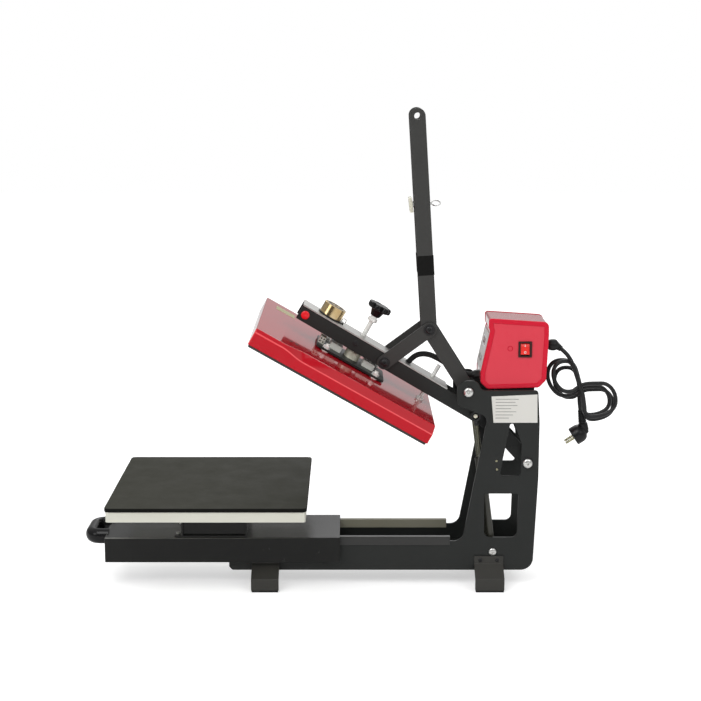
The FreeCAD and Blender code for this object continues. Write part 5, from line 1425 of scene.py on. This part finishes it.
@dataclass
class Toggle:
    """Handle, links, knee and the steel plate that the magnet holds."""

    lean: float = 93.6
    eye_at: float = 240.0
    eye_marks: tuple[float, ...] = (-27.0, -19.0, 7.0, 19.0)
    washer: float = 1.6

    def build(self) -> None:
        """Dress the toggle."""
        for node, finish, width in (
                ("handle_bars", HANDLE_COAT, 0.8), ("toggle_links", HANDLE_COAT, 0.8),
                ("handle_sleeves", SLEEVE_BLACK, 0.25), ("knee_pins", ZINC, 0.3),
                ("armature_crossbar", ZINC, 0.5), ("armature", PALE_ZINC, 0.6)):
            rounded_copy(node, finish, width)
        self.make_knee()
        self.make_eye()

    def make_knee(self) -> None:
        """Dark bolts and washers at the knee."""
        shape = Shape()
        x, z = KNEE
        shape.pair(disc(11.0, self.washer, 0.4), x, LINK_OUT, z, 36)
        shape.pair(dome(7.5, 5.0, 4.4), x, LINK_OUT + self.washer, z, 32, 4.4)
        for side in Side:
            shape.rod(5.0, 4.8, facing(x, side.value * 31.6, z, side))
        shape.finish("knee_bolts", BLACK_OXIDE, "links", nodes=["knee_caps"])

    def make_eye(self) -> None:
        """The eye bolt that holds the steel plate to the handle."""
        shape = Shape()
        ring, foot, inner, tip = ((x, 0.0, z) for x, z in (
            along(KNEE, self.lean, self.eye_at, out) for out in self.eye_marks))
        shape.rod(3.0, 36.5, aimed(foot, tip), steps=24)
        shape.rod(6.0, 10.6, aimed(inner, tip), steps=6)
        shape.torus(8.5, 1.6, aimed(ring, (ring[0], -5.0, ring[2] + 8.5)))
        shape.finish("armature_eye_bolt_forged", CHROME, "handle", nodes=["armature_eye_bolt"])


@dataclass
class GasStruts:
    """The two gas struts inside the tower."""

    rod_foot: float = 100.0
    rod_length: float = 157.0
    seal_at: float = 165.0
    neck_at: float = 254.0

    def build(self) -> None:
        """Dress the struts."""
        rounded_copy("strut_tubes", TUBE_BLACK, 0.4)
        rods, eyes, seals = Shape(), Shape(), Shape()
        eye = [(6.6, -4), (9.4, -4), (10, -3.4), (10, 3.4), (9.4, 4), (6.6, 4), (6.6, -4)]
        neck = [(0, 0), (4.6, 0), (5.2, 0.8), (4.6, 9.6), (0, 9.6)]
        seal = [(4.15, 0), (6.6, 0), (6.2, 1.6), (4.9, 2.2), (4.15, 2.2), (4.15, 0)]
        for side in Side:
            y = side.value * STRUT_OUT
            rods.rod(4.0, self.rod_length, self.place(y, self.rod_foot), steps=32)
            eyes.lathe(neck, self.place(y, self.neck_at), steps=24)
            seals.lathe(seal, self.place(y, self.seal_at), steps=28)
        eyes.pair(eye, STRUT_HEAD[0], STRUT_OUT, STRUT_HEAD[1])
        rods.finish("strut_rods_turned", NITRIDED, "strut_pistons", nodes=["strut_rods"])
        eyes.finish("strut_eyes", BLACK_OXIDE, "strut_pistons")
        seals.finish("strut_seals", SOFT_BLACK, "strut_cylinders")

    @staticmethod
    def place(y: float, distance: float) -> Matrix:
        """Place of a piece turned about a strut's line, a distance up from the foot."""
        degrees = math.degrees(math.atan2(STRUT_HEAD[1] - STRUT_FOOT[1],
                                          STRUT_HEAD[0] - STRUT_FOOT[0]))
        x, z = along(STRUT_FOOT, degrees, distance)
        return aimed((x, y, z), (STRUT_HEAD[0], y, STRUT_HEAD[1]))


@dataclass
class ControlBox:
    """The control box: wrap, side covers, panel, display, buttons, switch and label."""

    tray_z: float = 398.6
    panel_foot: Spot = (323.0, 428.0)
    panel_head: Spot = (340.0, 508.0)
    switch: Spot = (408.0, 472.5)
    switch_out: float = 43.8
    ring_mark: Spot = (379.5, 474.0)
    label_corner: Spot = (352.0, 377.0)
    label_rows: tuple[float, ...] = (44.0, 38.0, 42.0, 30.0, 40.0, 34.0, 26.0)
    label_pitch: float = 6.2
    label_out: float = 60.42
    tower_x: Spot = (350.0, 430.0)
    tower_z: float = 398.5
    rocker_top: float = 478.0
    field_out: float = 47.0
    field_edge: float = 48.2
    rim_out: float = 48.9
    digits: tuple[float, ...] = (-13.0, 0.0, 13.0)
    buttons: tuple[float, ...] = (-14.0, 14.0)

    def build(self) -> None:
        """Dress the control box."""
        shape = Shape.of_node("box_shell")
        bm = shape.bm
        bmesh.ops.bisect_plane(bm, geom=bm.verts[:] + bm.edges[:] + bm.faces[:],
                               plane_co=(0, 0, self.tray_z), plane_no=UP)
        shape.bevel(0.4)
        shell = shape.finish("box_shell_finished", SHELL_RED, "frame", nodes=["box_shell"])
        front, rear = self.tower_x
        second_finish(shell, BLACK_COAT, lambda face: face.center.z < MM * self.tower_z
                      and MM * front < face.center.x < MM * rear)
        self.make_covers()
        rounded_copy("front_panel", PANEL_FILM, 0.4)
        rounded_copy("display_window", DISPLAY_GLASS, 0.3)
        rounded_copy("controller_board", BOARD, 0.3)
        rounded_copy("rating_plate", LABEL_FILM, 0.12, 1)
        rounded_copy("switch_housing", SWITCH_FRAME, 0.5)
        rounded_copy("power_rocker", ROCKER_RED, 0.5, head=self.rocker_head)
        rounded_copy("set_button", KEY_GREY, 0.6, 3)
        rounded_copy("timer_button", KEY_GREY, 0.6, 3)
        self.make_digits()
        self.make_marks()
        self.make_print()

    def rocker_head(self, edge: Edge) -> bool:
        """Whether an edge runs along the top of the rocker's face."""
        return all(vert.co.z > self.rocker_top and vert.co.y < -self.field_out
                   for vert in edge.verts)

    def cover_rim(self, edge: Edge) -> bool:
        """Whether an edge is one of a cover's outer rim."""
        return all(abs(vert.co.y) > self.rim_out for vert in edge.verts) and any(
            abs(vert.co.y) < self.field_out for face in edge.link_faces for vert in face.verts)

    def make_covers(self) -> None:
        """The two side covers: rounded rims round drawn-in fields."""
        shape = Shape.of_node("box_covers")
        shape.bevel(2.2, 5, self.cover_rim)
        low, high = self.field_out, self.field_edge
        shape.bevel(0.5, 3, lambda edge: all(abs(vert.co.y) > low for vert in edge.verts))
        # The flat drawn-in fields take the lighter field colour and the rims keep the darker red:
        # painted shade on the rims.
        shape.mark(lambda vert: low < abs(vert.co.y) < high and any(
            abs(face.normal.y) > 0.99 for face in vert.link_faces))
        x, z = self.ring_mark
        ring = [(4.2, -0.4), (4.2, 0.3), (4.6, 0.45), (5, 0.3), (5, -0.4), (4.2, -0.4)]
        shape.lathe(ring, facing(x, -47.8, z, Side.NEAR), steps=36)
        shape.finish("box_covers_moulded", BOX_RED, "frame", nodes=["box_covers"])

    def panel_place(self, up: float, across: float, out: float) -> Matrix:
        """Place on the leaning panel: +X across the press, +Y up the panel, +Z out of it."""
        (x0, z0), (x1, z1) = self.panel_foot, self.panel_head
        angle = math.atan2(z1 - z0, x1 - x0)
        x, z = along(self.panel_foot, math.degrees(angle), up, out)
        rows = Matrix(((0.0, math.cos(angle), -math.sin(angle)), (-1.0, 0.0, 0.0),
                       (0.0, math.sin(angle), math.cos(angle)))).to_4x4()
        return Matrix.Translation((x, across, z)) @ rows

    def make_digits(self) -> None:
        """Unlit segments of three plain digits behind the display window."""
        shape = Shape()
        bars = [(0.0, dy, 6.0, 1.2) for dy in (6.0, 0.0, -6.0)]
        bars += [(dx, dy, 1.2, 4.6) for dy in (3.0, -3.0) for dx in (-3.8, 3.8)]
        for across in self.digits:
            for dx, dy, wide, tall in bars:
                shape.block((dx - wide / 2, dy - tall / 2, 0.0),
                            (dx + wide / 2, dy + tall / 2, 0.2),
                            self.panel_place(55.0, across, 0.92))
        shape.finish("display_segments", SEGMENT_RED, "frame")

    def make_marks(self) -> None:
        """A stroke and a ring on the rocker, and a ring round each button."""
        shape = Shape()
        x, z = self.switch
        tilt = standing(x, -self.switch_out, z) @ Matrix.Rotation(math.radians(-8.0), 4, "X")
        shape.block((-0.6, -5.15, 4.4), (0.6, -4.5, 8.4), tilt)
        shape.lathe([(1.5, 0), (2.3, 0), (2.3, 0.35), (1.5, 0.35), (1.5, 0)],
                    tilt @ facing(0.0, -4.7, -6.4, Side.NEAR), steps=28)
        shape.finish("rocker_marks", MARK_WHITE, "rocker")
        rings = Shape()
        for across in self.buttons:
            rings.lathe([(4.9, 0), (6.4, 0), (6.1, 0.35), (4.9, 0.35), (4.9, 0)],
                        self.panel_place(22.0, across, 2.0), steps=40)
        rings.finish("button_rings", KEY_GREY, "frame")

    def make_print(self) -> None:
        """Plain ruled lines where the label carries its data."""
        shape = Shape()
        x, top = self.label_corner
        y = -self.label_out
        for row, length in enumerate(self.label_rows):
            z = top - row * self.label_pitch
            shape.block((x, y - 0.1, z - 0.55), (x + length, y, z + 0.55))
        shape.finish("label_rules", PRINT_GREY, "frame")


def main() -> None:
    """Build the studio and dress each part of the press in order."""
    logging.basicConfig(level=logging.INFO, format="%(name)s %(message)s")
    bpy.context.scene.view_settings.view_transform = "Standard"
    Studio().build()
    for part in (MainsCord(), HeaterConduit(), Frame(), Drawer(), Arm(), HeatedPlaten(),
                 PressureKnob(), Toggle(), GasStruts(), ControlBox()):
        log.info("%s", type(part).__name__)
        part.build()


if __name__ == "__main__":
    main()
